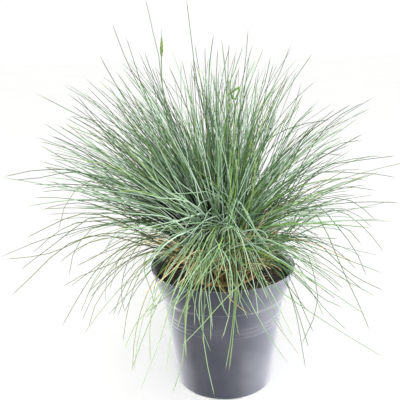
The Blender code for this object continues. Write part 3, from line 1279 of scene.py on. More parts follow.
    def fibre_bed(self, stations: int = 7) -> Surface:
        """Root and wood fibres: thin threads that lie on the bed in slow curves.

        Args:
            stations: points along each fibre.

        Returns:
            The fibres, with their mark "kind".
        """
        count = self.fibres
        x, y = self.scatter(count, 2 * MM, 4 * MM).T
        heading = self.rng.uniform(0, 2 * np.pi, count)[:, None]
        curl = self.rng.normal(0, 1.0, count)[:, None] * np.linspace(-1, 1, stations)
        step = self.rng.uniform(*self.fibre_length_mm, count)[:, None] * MM / (stations - 1)
        x = x[:, None] + np.cumsum(step * np.cos(heading + curl), axis=1)
        y = y[:, None] + np.cumsum(step * np.sin(heading + curl), axis=1)
        far = np.maximum(np.hypot(x, y) / (self.pot.inside(self.top) - 4 * MM), 1)
        x, y = x / far, y / far
        low, *lifts = self.fibre_lift_mm
        arch = np.sin(np.linspace(0, np.pi, stations))
        lift = low + self.rng.uniform(*lifts, count)[:, None] * arch
        line = np.stack([x, y, self.surface(x, y) + lift * MM], axis=-1)
        widths = self.rng.uniform(*self.fibre_width_mm, count)[:, None] * MM
        radii = np.repeat(widths, stations, axis=1)
        threads = sweep(line, np.tile([0.0, 0.0, 1.0], (count, 1)), radii, oval(4))
        threads.marks.clear()
        return per_shell(threads, count, kind=self.rng.uniform(*self.fibre_kind, count))

    def build(self, finish: Material) -> None:
        """Make the bed and what lies loose on it.

        Args:
            finish: the compost's material.
        """
        keep(self.bed().to_piece("compost_bed", finish, self.crisp), "compost", "compost")
        loose = joined([self.crumb_bed(), self.fibre_bed()])
        keep(loose.to_piece("compost_crumbs_and_fibres", finish), "compost")


# ---- the fountain


@dataclass(frozen=True)
class Habit:
    """How leaves stray from the even fountain: one number for each leaf.

    lean tips a leaf over from its foot on, nod tips it over towards its tip, turn swings it round
    the axis, curl bends it sideways, and wave and phase give it a slow sideways snake.
    """

    lean: np.ndarray
    nod: np.ndarray
    turn: np.ndarray
    curl: np.ndarray
    wave: np.ndarray
    phase: np.ndarray

    @staticmethod
    def none(count: int) -> Habit:
        """Leaves that don't stray at all."""
        return Habit(*np.zeros((6, count)))

    @staticmethod
    def drawn(
        rng: np.random.Generator, count: int, lean: float, nod: float, turn: float, *rest: float
    ) -> Habit:
        """Habits drawn with these normal spreads: three in degrees, then curl and wave.

        Args:
            rng: the source of random numbers.
            count: how many leaves.
            lean: spread of the lean.
            nod: spread of the nod.
            turn: spread of the turn.
            rest: spreads of the curl and the wave, or none.

        Returns:
            One habit for each leaf.
        """
        curl, wave = (*rest, 0, 0)[:2]
        spreads = (*map(math.radians, (lean, nod, turn)), curl, wave)
        return Habit(*(rng.normal(0, spread, count) for spread in spreads), rng.random(count))


@dataclass(frozen=True)
class Fountain:
    """How the clump flows: a neck that rises from the crown and fans out into a fountain.

    A leaf's lean from the vertical depends on how far from the middle of the crown it starts.
    """

    crown_radius: float = 30 * MM
    crown_rise: float = 6 * MM
    crown_edge: float = 103.6 * MM
    lean_at_edge: float = math.radians(101)
    droop_at_centre: float = math.radians(4)
    droop_at_edge: float = math.radians(50)
    bend_start: float = 8 * MM
    bend_end: float = 80 * MM
    reach_top: float = 210 * MM
    reach_side: float = 160 * MM
    left_bias: float = 26 * MM
    late: float = 1.5  # the power by which the reach falls off and the droop comes in
    most_rank: float = 1.05  # how far outside the crown's edge a foot still changes the lean
    places: int = 50
    first_place: float = math.radians(42.5)
    crown_fill: float = 0.94
    held: float = 0.97  # of the crown's radius, the furthest that a foot is set
    snakes: float = 0.8  # waves of the sideways snake over a leaf's length
    fine_steps: int = 60

    @property
    def sphere(self) -> float:
        """Radius of the ball that the crown's dome is cut from."""
        return (self.crown_radius**2 + self.crown_rise**2) / (2 * self.crown_rise)

    @property
    def cell(self) -> float:
        """Distance between neighbouring places on the crown."""
        return self.crown_radius / math.sqrt(self.places)

    @property
    def middles(self) -> np.ndarray:
        """(x, y) of every place on the crown."""
        return np.array([self.place(index) for index in range(self.places)])

    def crown_height(self, away: np.ndarray) -> np.ndarray:
        """Height of the dome at this distance from the axis, level beyond its edge."""
        held = np.minimum(away, self.crown_radius)
        return self.crown_edge + self.crown_rise - self.sphere + np.sqrt(self.sphere**2 - held**2)

    def place(self, index: int) -> np.ndarray:
        """(x, y) of a place on the crown, in sunflower order from the middle."""
        away = self.crown_radius * self.crown_fill * math.sqrt((index + 0.5) / self.places)
        return polar(away, self.first_place + index * GOLDEN_ANGLE)

    def start(self, address: np.ndarray) -> np.ndarray:
        """The point on the dome at this (x, y)."""
        return np.append(address, self.crown_height(np.linalg.norm(address)))

    def on_crown(self, address: np.ndarray) -> np.ndarray:
        """The same places, with those too near the crown's edge or beyond it drawn in."""
        away = np.maximum(np.linalg.norm(address, axis=1), NOTHING)
        return address * (np.minimum(away, self.held * self.crown_radius) / away)[:, None]

    def reach(self, address: np.ndarray) -> np.ndarray:
        """Length of a full leaf from each address: most at the top, and more to the left.

        Args:
            address: (leaf, 2) places on the crown.

        Returns:
            A length for each.
        """
        away = np.linalg.norm(address, axis=1)
        rank = np.minimum(away / self.crown_radius, 1)
        side = self.reach_side - self.left_bias * address[:, 0] / np.maximum(away, MM)
        return self.reach_top + (side - self.reach_top) * rank**self.late

    def rank_for(self, lean: float) -> float:
        """How far out on the crown, from 0 to 1, a leaf starts that fans out to this lean."""
        share = (1 - np.cos(lean)) / (1 - math.cos(self.lean_at_edge))
        return float(np.sqrt(np.clip(share, 0, 1)))

    def paths(
        self, address: np.ndarray, length: np.ndarray, habit: Habit, stations: int
    ) -> np.ndarray:
        """Follow the flow up from each address.

        The lean is the dome's own slope at the foot, eases to the fanned angle between the two
        bend lengths, and gains the droop as the leaf goes on. The path is the running sum of its
        direction in fine steps, with a sideways bow and a snake that grows along it.

        Args:
            address: (leaf, 2) places on the crown.
            length: (leaf,) lengths.
            habit: how each leaf strays.
            stations: how many points each path has.

        Returns:
            (leaf, station, 3) points.
        """
        share = np.linspace(0, 1, self.fine_steps + 1)
        run = length[:, None] * share
        away = np.linalg.norm(address, axis=1)
        rank = np.minimum(away / self.crown_radius, self.most_rank)[:, None]
        root = np.arcsin(rank * self.crown_radius / self.sphere)
        fanned = np.arccos(1 - (1 - math.cos(self.lean_at_edge)) * np.minimum(rank, 1) ** 2)
        droop = self.droop_at_centre + (self.droop_at_edge - self.droop_at_centre) * rank**2
        droop = (droop + habit.nod[:, None]) * share**self.late
        bend = smoothstep((run - self.bend_start) / (self.bend_end - self.bend_start))
        stray = smoothstep(run / self.bend_end)
        lean = root + (fanned - root) * bend + droop + habit.lean[:, None] * stray
        azimuth = np.arctan2(address[:, 1], address[:, 0])[:, None] + habit.turn[:, None] * stray
        heading = np.dstack([polar(np.sin(lean), azimuth), np.cos(lean)])
        steps = (heading[:, 1:] + heading[:, :-1]) / 2 * (length / self.fine_steps)[:, None, None]
        foot = np.concatenate([address, self.crown_height(away)[:, None]], axis=1)
        points = np.concatenate([foot[:, None], foot[:, None] + np.cumsum(steps, axis=1)], axis=1)
        phase = habit.phase[:, None]
        sway = np.sin(2 * np.pi * (share * self.snakes + phase)) - np.sin(2 * np.pi * phase)
        bow = habit.curl[:, None] * length[:, None] * share**2 / 2
        aside = (habit.wave[:, None] * sway * share + bow)[..., None]
        points = points + aside * square_to(azimuth)
        pick = np.round(self.fine_steps * stations_to_tip(stations)).astype(int)
        return points[:, pick]


# ---- leaves from the photograph


class Depth(Enum):
    """How far from the pot's axis, towards the camera, a traced leaf runs."""

    UPRIGHT = "rises near the plane of the axis"
    BESIDE = "arches out beside the pot and a little forward"
    APRON = "arches over the front of the rim and hangs before the pot"
    FACE = "lies on the front of the clump"
    LOW = "lies low round the neck of the clump"


@dataclass(frozen=True)
class Depths:
    """The rules for each kind's depth. Columns and rows are pixels of the photograph."""

    neck: Span = (220.0, 262.0)  # the pixel that the leaves rise from
    beside: Span = (230.0, 0.87)  # the row from which they come forward beside the pot: mm a row
    rim: Span = (252.0, 39.0)  # the row where they pass over the rim, and how many rows it takes
    rim_mm: Span = (30.0, 50.0)  # how far forward they are there, and what they gain
    hang: Span = (291.0, 0.66)  # the row from which they hang before the pot: mm a row
    pot: Spot = (222.0, 62.0, 45.0)  # its column and half width, and the columns to the side rule
    pot_stray: float = 0.3  # the share of a leaf's own stray that counts before the pot
    face: Span = (216.0, 0.6)  # the middle column of the clump's face, and its curve: mm a column
    face_front: float = -28 * MM
    face_stray: float = 0.15

    def of(self, rule: Depth, pixels: np.ndarray, foot: float, stray: float) -> np.ndarray:
        """The Y of each traced pixel, by the rule for its kind of leaf.

        Args:
            rule: the leaf's kind.
            pixels: (n, 2), from the foot's side to the tip.
            foot: the Y of the leaf's foot.
            stray: a length that sets this leaf in front of or behind its neighbours.

        Returns:
            n values of Y.
        """
        px, py = pixels.T
        row, slope = self.beside
        beside = -slope * np.maximum(py - row, 0) * MM
        if rule in (Depth.APRON, Depth.LOW):
            (row, rows), (start, gain) = self.rim, self.rim_mm
            over = start + gain * np.clip((py - row) / rows, 0, 1)
            row, slope = self.hang
            over = -(over + slope * np.maximum(py - row, 0)) * MM
            column, half, columns = self.pot
            aside = smoothstep((np.abs(px - column) - half) / columns)
            return over * (1 - aside) + beside * aside + self.pot_stray * stray
        if rule is Depth.FACE:
            column, slope = self.face
            curve = slope * np.abs(px - column) * MM
            return self.face_front - curve + self.face_stray * stray
        away = np.hypot(*(pixels - self.neck).T)
        return foot + (beside[-1] + stray - foot) * (away / away.max())


@dataclass(frozen=True)
class Traced:
    """Leaves read off the photograph: each is the x and y of its pixels, from the tip down."""

    depth: Depth
    tone: Span
    light: Span
    width: Span
    leaves: tuple[tuple[float, ...], ...]
    dry: float = 0.0
    withered: float = 0.0  # how dry those are that hang low on the left
    beyond: Span = (0.0, 0.0)  # pixels that a leaf runs on past its traced tip


TOP = Traced(
    Depth.UPRIGHT,
    tone=(0.1, 0.6), light=(0.1, 0.4), width=(0.85, 1.1),
    leaves=(
        (145, -3.5, 145.8, 0, 153, 32, 158, 51, 160.5, 75),
        (185.7, -2.5, 186.2, 0, 192.6, 51, 194.5, 64),
        (111.6, 21.7, 122.4, 51, 134, 76.5, 144, 95.7), (125.3, 35, 134, 61, 140.3, 81.6),
        (144.4, 50.4, 151.8, 74, 159.4, 91.8), (99.5, 54.8, 111, 76.5, 127.6, 102),
        (122.4, 68.2, 135, 81.6), (116, 71.4, 134, 97), (96.3, 87.1, 109.7, 97),
        (214, 33.2, 209.6, 61.2), (204.8, 45.3, 205.5, 72), (217.9, 47.2, 216.6, 67.6),
        (182, 60, 187, 84), (248.2, 28.1, 245.9, 57.4, 242.7, 82.9),
        (242.5, 44.6, 237, 66.3, 225.5, 89.3), (235.7, 54.8, 231, 80), (251, 63.8, 244.6, 85.5),
        (270.5, 56.1, 263.8, 86.7, 256, 108.4), (273.7, 62.5, 266, 92),
        (291.2, 44.4, 282.9, 63.8, 276.5, 81.6, 263.8, 102), (289.3, 69.5, 277, 94),
        (286.5, 81, 276.5, 104.6), (300.8, 90.8, 291.8, 107), (303.6, 93.1, 293, 112),
        (315.4, 104, 299, 120), (314.2, 109, 297, 122.4), (363.9, 102.4, 346.7, 111, 335.2, 118.6),
        (370.3, 108.4, 346.7, 120, 327.6, 128.8, 308.4, 137.8), (335.8, 109, 322.4, 118.6),
        (332.7, 119.3, 314.8, 121.8, 294.4, 126.3, 279, 132.7, 263.8, 142.9),
        (362.6, 140.3, 340.3, 143.5, 327.6, 149.2), (342.9, 136.5, 322, 146),
        (343.5, 155.9, 322.4, 153.7), (75.9, 93.8, 89.3, 111, 108.4, 131.4),
        (70.8, 104.6, 89.3, 117.3), (64.4, 117.3, 88, 130), (70.2, 116, 92, 127),
        (56.8, 124.4, 76.5, 136.5, 102, 153), (49.1, 135.2, 72, 145),
    ),
)

SIDES = Traced(
    Depth.BESIDE,
    tone=(0.1, 0.7), light=(0.1, 0.4), width=(0.85, 1.1), withered=0.3,
    leaves=(
        (39.5, 141.8, 56.1, 144.8, 79, 154.3), (52.3, 159.4, 76.5, 169.6),
        (42.7, 165.8, 63.8, 174.7), (3.2, 177.3, 25.5, 171.6, 51, 169.4, 79, 170.9),
        (12.8, 179.8, 38.3, 178, 57.4, 174, 79, 171.6), (40.8, 188.8, 66, 186),
        (40.8, 192, 68, 190), (34, 197.7, 67.6, 198.5), (44.6, 208.7, 72, 203),
        (25.5, 238.3, 51, 225.3, 81.6, 213.8),
        (58, 231.6, 61.2, 218.9, 66.3, 202.3, 72.7, 193.4, 92, 180),
        (31.3, 254.6, 51, 236.7, 76.5, 222.7), (3.8, 259.3, 37, 255.9, 57.4, 250.8, 81.6, 239.3),
        (18.9, 271.2, 38.3, 255.9, 63.8, 236.7, 94.4, 216.3),
        (10.2, 296.7, 38.3, 269.9, 60, 249.5, 81.6, 238), (59.3, 262.9, 80, 247),
        (69.5, 276.3, 71.4, 259.7, 79, 243, 96, 226), (75.3, 266.3, 96.9, 255.9, 122.4, 240.6),
        (62.5, 287.1, 81.6, 275.6, 98.2, 269.3), (69.5, 287, 92, 270),
        (61.5, 327.3, 76.5, 300.5, 94.4, 272.4, 109.7, 255.9),
        (88.6, 327.9, 96.9, 301.8, 108.4, 285.2, 124, 266), (89.3, 298.6, 106, 280),
        (89.9, 290.9, 108, 274), (123.1, 342, 125.6, 322.2, 132.7, 290.3, 143, 268),
        (112.9, 316.5, 122, 292, 134, 272), (117.3, 317, 128, 290, 140, 268),
        (396.4, 155.7, 369.6, 158.9, 346.7, 162.1, 327.6, 165.3),
        (396.4, 177.8, 378.6, 174.2, 353, 173, 314.8, 174.2),
        (375.4, 190.8, 359.4, 187.6, 340.3, 188.3), (365.8, 180.6, 342, 178),
        (375.4, 220.2, 363.3, 208.7, 344, 198.5), (372.2, 227.8, 352, 212),
        (384.3, 253, 372.2, 236.7, 356.9, 221.4, 337.8, 210), (361.7, 245, 346, 228),
        (366.8, 277.6, 359.4, 258.4, 346.7, 238, 330, 217.6, 312.2, 201),
        (384.3, 290.7, 353, 275, 333.9, 258.4, 314.8, 241.8),
        (365.2, 291.8, 346.7, 276.3, 330, 262),
        (370.3, 332.4, 359.4, 305.6, 345.4, 276.3, 327.6, 234.2, 314, 212),
        (356.3, 269.6, 340, 253), (347.3, 330.5, 327.6, 312, 314.8, 296.7, 299.5, 278.8),
        (342.2, 307.1, 322.4, 298, 304, 282), (335.8, 298.6, 316, 284), (343.5, 289, 324, 272),
        (314.2, 333.7, 302, 306.9, 294.4, 287.8, 284, 268),
        (300.8, 345.2, 311, 324.7, 318, 299.2, 314.8, 277.6, 309.7, 258.4),
        (305.7, 368.4, 300.9, 340.6, 297.2, 318.8, 290, 292, 280, 268),
        (308.7, 347.8, 301, 322, 292, 296, 280, 274),
    ),
)

FRONT = Traced(
    Depth.APRON,
    tone=(0.2, 0.8), light=(0.58, 0.93), width=(0.9, 1.25), dry=0.08,
    leaves=(
        (124.4, 350, 137.8, 320.9, 150.5, 306.9, 166, 284),
        (130.6, 372.7, 140, 346, 152, 316, 168, 284),
        (134.2, 370.3, 139.7, 330.9, 148, 304, 164, 276),
        (140.3, 390.9, 153, 358.8, 161.5, 335.7, 166.4, 317.6, 176, 286),
        (150.6, 362.4, 150, 324.8, 154, 298, 168, 272),
        (171.8, 393.9, 179.7, 374.5, 183.3, 355.1, 185.7, 324.8, 190, 290),
        (165.7, 373.9, 170, 343, 173.6, 312.7, 182, 284),
        (186.3, 357.5, 185.1, 324.8, 188, 298, 196, 274), (194.8, 327.2, 194.5, 308, 198, 288),
        (199.7, 323.6, 199, 306, 201, 288), (210.6, 341.8, 210, 312.7, 206.3, 294.5, 206, 276),
        (214.8, 397.5, 210, 376.9, 204.5, 349, 202.7, 324.8, 200.9, 294.5, 204, 272),
        (221.5, 339.4, 227, 324.8, 230, 304, 230, 282),
        (225.1, 371.5, 229.5, 348, 233, 320, 235.4, 288.5, 234, 270),
        (228.8, 371.5, 233, 337, 234.8, 312.7, 236.4, 288.5, 236, 268),
        (240.3, 337, 235.4, 322.4, 237, 300, 237, 278),
        (180.3, 347.2, 208.8, 317.6, 230.6, 293.3, 246, 276), (248.1, 318.8, 241, 304, 238, 286),
        (249.4, 296.3, 244, 280), (258.4, 316.9, 256.6, 300.6, 254, 284),
        (299.6, 355.1, 281.5, 330.9, 266.9, 309.1, 251.2, 286, 244, 270),
        (293, 336.9, 281, 312, 270, 290, 262, 274), (159.5, 342, 166, 320, 176, 298, 188, 278),
        (177, 330, 184, 308, 193, 290, 204, 272), (212.5, 330, 210.5, 306, 209, 284),
        (224, 312, 221.5, 296, 218, 278), (171.5, 308, 181, 300, 194, 284),
        (176, 326, 186, 306, 196, 286), (267.5, 300, 262, 286, 254, 272),
        (276, 312, 268, 296, 258, 276),
    ),
)

FACE = Traced(
    Depth.FACE,
    tone=(0.0, 0.45), light=(0.78, 1.05), width=(1.0, 1.4), beyond=(0, 12),
    leaves=(
        (126, 143, 137, 152, 150, 163, 159, 172, 167, 180, 174, 190, 186, 200, 205, 214),
        (150, 158, 153, 168, 157, 181, 164, 190, 172, 194, 180, 197, 197, 208),
        (138, 158, 144, 166, 153, 179, 160, 187, 167, 192, 178, 197),
        (160, 150, 164, 158, 174, 177, 181, 184, 190, 190, 197, 197),
        (174, 143, 179, 151, 186, 163, 191, 173, 195, 181, 197, 191, 199, 202),
        (177, 143, 181, 151, 188, 164, 194, 177, 200, 190),
        (198, 136, 203, 151, 206, 161, 209, 171, 211, 181, 214, 194),
        (196, 140, 199, 151, 203, 161, 205, 171, 208, 184),
        (177, 193.5, 187, 193.5, 196, 192.5, 204, 191.5, 212, 193, 219, 199),
        (118, 187, 134, 191, 144, 193.5, 154, 196.5, 172, 199, 181, 199, 192, 204),
        (118, 199, 134, 202, 149, 206.5, 164, 208, 174, 210, 184, 214, 194, 218),
        (150, 191, 162, 198, 174, 205, 183, 211, 192, 217, 203, 220, 222, 222),
        (126, 213, 140, 214, 154, 215, 164, 216.5, 172, 219, 178, 223),
        (118, 230, 134, 228, 148, 227, 162, 224, 176, 221, 188, 218, 198, 213),
        (156, 236, 164, 228, 172, 223.5, 181, 220.5, 190, 217.5, 200, 213),
        (181, 238, 186, 227, 190, 220, 194, 214, 197, 208, 203, 200),
        (184, 223, 194, 220.5, 204, 218.5, 214, 217, 224, 214.5, 229.5, 211, 231, 204),
        (198, 222, 202, 218, 206, 214, 210, 210, 214, 205, 218, 198),
        (190, 229, 204, 228, 212, 226, 220, 223, 227, 218.5, 231, 213),
        (172, 250, 177, 246, 186, 239, 192, 232, 198, 226, 206, 220, 214, 216),
        (186, 248, 188, 244, 191, 238, 196, 229, 203, 221),
        (160, 248, 167, 243, 174, 237, 182, 233, 190, 230, 200, 227.5, 212, 224),
        (148, 262, 154, 253, 164, 242, 172, 236, 181, 232, 192, 227),
        (145, 275, 149, 266, 155, 256, 163, 246.5, 174, 238, 186, 232),
        (196.5, 246, 198, 240, 200, 234, 202, 228, 204, 220, 208, 212),
        (210, 240, 210.5, 232, 211, 224, 213, 214),
        (150, 178, 160, 184, 169, 191, 178, 200, 188, 212),
        (140, 177, 153, 186, 165, 196, 176, 203, 190, 209),
        (192, 165, 198, 173, 203, 181, 206, 191, 210, 200, 215, 208),
    ),
)

FACE_RIGHT = Traced(
    Depth.FACE,
    tone=(0.0, 0.5), light=(0.65, 0.92), width=(0.9, 1.25), beyond=(0, 12),
    leaves=(
        (215, 290, 216, 278, 217, 268, 219, 258, 220, 248, 222, 238, 226, 228, 233, 212),
        (196, 283, 202, 273, 210, 261, 217, 254, 224, 243, 228, 234, 232, 224, 235, 214),
        (217, 262, 219, 246, 221, 236, 223, 228, 227, 220, 231, 212),
        (272, 255, 267, 246, 264, 241, 258, 233, 253, 226, 248, 216, 242.5, 207, 239, 199),
        (273, 257, 265, 244, 256, 231, 249, 219, 244, 210, 240, 201),
        (256, 268, 256.5, 258, 256.5, 248, 255, 238, 254, 228, 250, 217, 244.5, 208),
        (262, 242, 257, 234, 252, 227, 244, 218, 237, 210, 232, 203),
        (272, 256, 267, 253, 254, 246, 246, 240, 238, 233, 231, 228, 226, 222),
        (258, 250, 252, 243, 244, 235, 236, 225, 231, 216),
        (200, 178, 206, 182, 214, 187, 222, 192, 228, 196, 235, 200, 242, 204),
        (214, 188, 218, 193, 223, 199, 227, 206, 230, 210, 233, 216),
        (220.5, 188, 221, 194, 222.5, 204, 223, 213, 224, 222),
        (200, 188, 204, 194, 209, 201, 214, 207, 218, 213, 223, 220),
        (210, 160, 214, 168, 220, 179, 224, 188, 227, 195, 230, 204),
        (256, 152, 252, 163, 247, 175, 243, 184, 238, 196, 234, 206),
        (266, 174, 259, 179.7, 248.8, 187.3, 240, 200),
        (206, 290, 209, 276, 213, 262, 217, 248, 221, 236, 226, 226),
        (188, 276, 196, 262, 205, 250, 213, 240, 221, 231, 228, 224),
        (241, 282, 240, 268, 237, 254, 234, 240, 232, 228),
        (227, 276, 228, 262, 229, 248, 230, 236, 231, 224),
    ),
)

FRESH = Traced(
    Depth.FACE,
    tone=(0.82, 1.0), light=(0.45, 0.7), width=(1.1, 1.5),
    leaves=(
        (230.2, 148, 230.4, 170, 230.4, 194, 229, 210),
        (239, 150, 237.6, 170, 234, 186.8, 232.4, 195.5, 230, 212),
        (236.5, 158, 236.5, 183, 234, 204), (212, 180, 214, 196, 215, 210, 217, 224),
        (199, 322, 197.5, 300, 198, 283, 204, 268), (233.5, 120, 234.5, 140, 233, 160, 231, 182),
    ),
)

STRAW = Traced(
    Depth.APRON,
    tone=(0.5, 0.9), light=(0.4, 0.75), width=(0.65, 0.9), dry=0.95,
    leaves=(
        (248.1, 313.3, 236.6, 305.4, 223.3, 290.9, 216, 276),
        (202, 291, 212, 282, 223, 274, 231, 266), (233, 291, 228, 276, 224, 262),
    ),
)

LOW_STRAW = Traced(
    Depth.LOW,
    tone=(0.5, 0.9), light=(0.5, 1.0), width=(0.8, 1.1), dry=0.95,
    leaves=(
        (176, 286, 186, 276, 196, 262), (161, 282, 166, 270, 174, 258),
        (274, 268, 264, 260, 254, 250), (143, 240, 160, 247, 180, 257),
        (146, 252, 165, 255, 185, 262), (150, 236, 168, 246, 188, 258),
        (154, 239, 170, 241, 190, 250), (168, 268, 178, 262, 190, 258),
        (166, 262, 178, 255, 192, 252), (172, 250, 184, 251, 196, 256),
        (212, 236, 213, 246, 216, 256, 222, 266), (209, 242, 212, 252, 218, 262),
        (228, 244, 224, 256, 222, 268), (234, 232, 232, 246, 228, 260),
        (236, 250, 230, 260, 226, 268), (275, 206, 262, 224, 248, 244),
        (268, 210, 258, 228, 246, 246), (247, 222, 244, 238, 238, 254),
        (252, 228, 246, 242, 240, 256), (279, 222, 264, 236, 250, 250),
    ),
)


# ---- all the leaves


@dataclass(frozen=True)
class Batch:
    """Leaves drawn at random for one part of the clump. Angles are in degrees."""

    count: int
    ranks: Span  # how far out on the crown their feet are, as shares of its radius
    length: Span
    tone: Span
    light: Span
    width_mm: Span
    dead: float  # the share of them that are dry
    habit: tuple[float, ...]  # spreads, in the order of a Habit
    hidden: float | None = None  # the length of each that its neighbours hide, if it is known


# a folded needle from the end: keel below, two flanks, two edges that nearly meet
NEEDLE = np.array([(0, -0.52), (0.5, -0.05), (0.27, 0.42), (-0.27, 0.42), (-0.5, -0.05)])
BASAL = Batch(
    120,
    ranks=(0.62, 0.97),
    length=(38 * MM, 95 * MM),
    tone=(0.3, 0.9),
    light=(0.5, 0.95),
    width_mm=(0.6, 1.0),
    dead=0.2,
    habit=(14, 20, 25, 0.6),
)
HANGING = Batch(
    76,
    ranks=(0.5, 0.97),
    length=(78 * MM, 140 * MM),
    tone=(0.1, 0.75),
    light=(0.3, 0.92),
    width_mm=(0.65, 1.05),
    dead=0.03,
    habit=(8, 18, 26, 0.8),
    hidden=55 * MM,
)


@dataclass(frozen=True)
class Filling:
    """How the leaves between the traced ones are drawn. A plain pair is a range."""

    per_tuft: tuple[int, int] = (140, 62)  # at the middle and at the edge of the crown
    middle_rank: float = 0.2  # how far out the number starts to fall off
    spread: float = 1.15  # how far a foot strays from its place, in cells of the crown
    share: Span = (0.4, 0.62)  # of a full length: the least, and what a beta adds
    share_beta: Span = (2.0, 1.5)
    vigour: Span = (0.84, 1.06)
    short_on_the_right: float = 0.12
    dead: float = 0.04  # the share of dry ones at the crown's edge, by rank to the fourth
    deadness: Span = (0.6, 1.0)
    tone: Spot = (0.4, 0.28, 0.85)  # mean, spread and most
    fresh: float = 0.12  # the share of yellow-green ones
    fresh_tone: Span = (0.8, 1.0)
    pale: float = 0.35  # the share of bloomed ones, which are bluer and wider
    pale_light: Span = (0.65, 1.0)
    dark_light: Span = (0.0, 0.58)
    pale_tone: float = 0.4
    pale_width: float = 1.3
    width: Span = (0.65 * MM, 1.05 * MM)
    near: Span = (50 * MM, 50 * MM)  # how far forward tips get less light, and over how far
    near_light: Span = (0.5, 0.55)  # above which light they lose, and the share that they lose
    low: Span = (130 * MM, 60 * MM)  # how low tips turn greener, and over how far
    low_tone: float = 0.25
    low_light: float = 0.6  # the light that low ones draw near to, and by which share
    west: Span = (40 * MM, 40 * MM)  # how far left low ones wither, and over how far
    withered: float = 0.25
    own: tuple[float, ...] = (11, 20, 24, 0.55, 2 * MM)  # spreads, in the order of a Habit
    shoot: tuple[float, ...] = (8, 0, 18, 0.15, 0)


@dataclass(frozen=True)
class Fullness:
    """How full the fan is, as the photograph shows it. Places are pixels.

    shares gives the part of the fill's leaves that stand, by the directions of their tips from
    the middle of the fan, in degrees counter-clockwise from the right.
    """

    middle: Span = (220.0, 228.0)
    directions: tuple[float, ...] = (
        *(0, 15, 30, 45, 53, 62, 72, 80, 92, 102, 110, 120),
        *(133, 147, 160, 170, 180, 189, 200, 220, 270, 310, 340),
    )
    shares: tuple[float, ...] = (
        *(0.08, 0.2, 0.22, 0.42, 0.18, 0.3, 0.58, 0.68, 1, 0.72, 0.42, 0.95),
        *(0.95, 0.78, 0.82, 0.36, 0.2, 0.06, 0.05, 0.2, 0.16, 0.1, 0.1),
    )
    short: Spot = (20.0, 60.0, 0.3)  # tips nearer than this stand less, over this, down to this
    facing: Span = (0.2, 1.6)  # tips that point at the camera: from which cosine, and how fast
    raised: Span = (20.0, 30.0)  # and lie above this row from the middle, over this many
    thinned: float = 0.45  # the share of those that don't stand
    before_pot: Spot = (70.0, 25.0, 72.0)  # rows and half width before the pot, where none do
    parting_middle: Span = (192.0, 222.0)
    parting_radii: Span = (38.0, 30.0)
    parting_edge: Span = (1.2, 0.4)  # in those radii: where the parting ends, over how far
    parting_front: float = -12 * MM
    parted: float = 0.9  # the share of leaves across the parting that don't stand

    def of(self, tips: np.ndarray, camera: PhotoCamera) -> np.ndarray:
        """The share of leaves that stand, by where the camera sees their tips.

        Fewer stand near the middle and where raised ones point at the camera, and none before
        the pot, where leaves are traced or hang as a batch of their own.

        Args:
            tips: (leaf, 3) points.
            camera: the camera of the photograph.

        Returns:
            A share for each leaf.
        """
        offset = camera.seen(tips) - np.array(self.middle)
        turn = np.degrees(np.arctan2(-offset[:, 1], offset[:, 0])) % 360
        nearest, over, least = self.short
        clear = smoothstep((np.linalg.norm(offset, axis=1) - nearest) / over)
        ahead = smoothstep((-unit(tips[:, :2])[:, 1] - self.facing[0]) * self.facing[1])
        ahead = ahead * smoothstep((self.raised[0] - offset[:, 1]) / self.raised[1])
        share = np.interp(turn, self.directions, self.shares, period=360)
        share = share * (least + (1 - least) * clear)
        row, rows, half = self.before_pot
        before = smoothstep((offset[:, 1] - row) / rows) * (np.abs(offset[:, 0]) < half)
        return share * (1 - self.thinned * ahead) * (1 - before)

    def parting(self, paths: np.ndarray, camera: PhotoCamera) -> np.ndarray:
        """How far each leaf would hide the dark parting in the clump's front, from 0 to 1.

        Args:
            paths: (leaf, station, 3) points.
            camera: the camera of the photograph.

        Returns:
            A number for each leaf.
        """
        away = (camera.seen(paths) - self.parting_middle) / self.parting_radii
        edge, over = self.parting_edge
        inside = smoothstep((edge - np.linalg.norm(away, axis=-1)) / over)
        return (inside * (paths[..., 1] < self.parting_front)).max(axis=1)


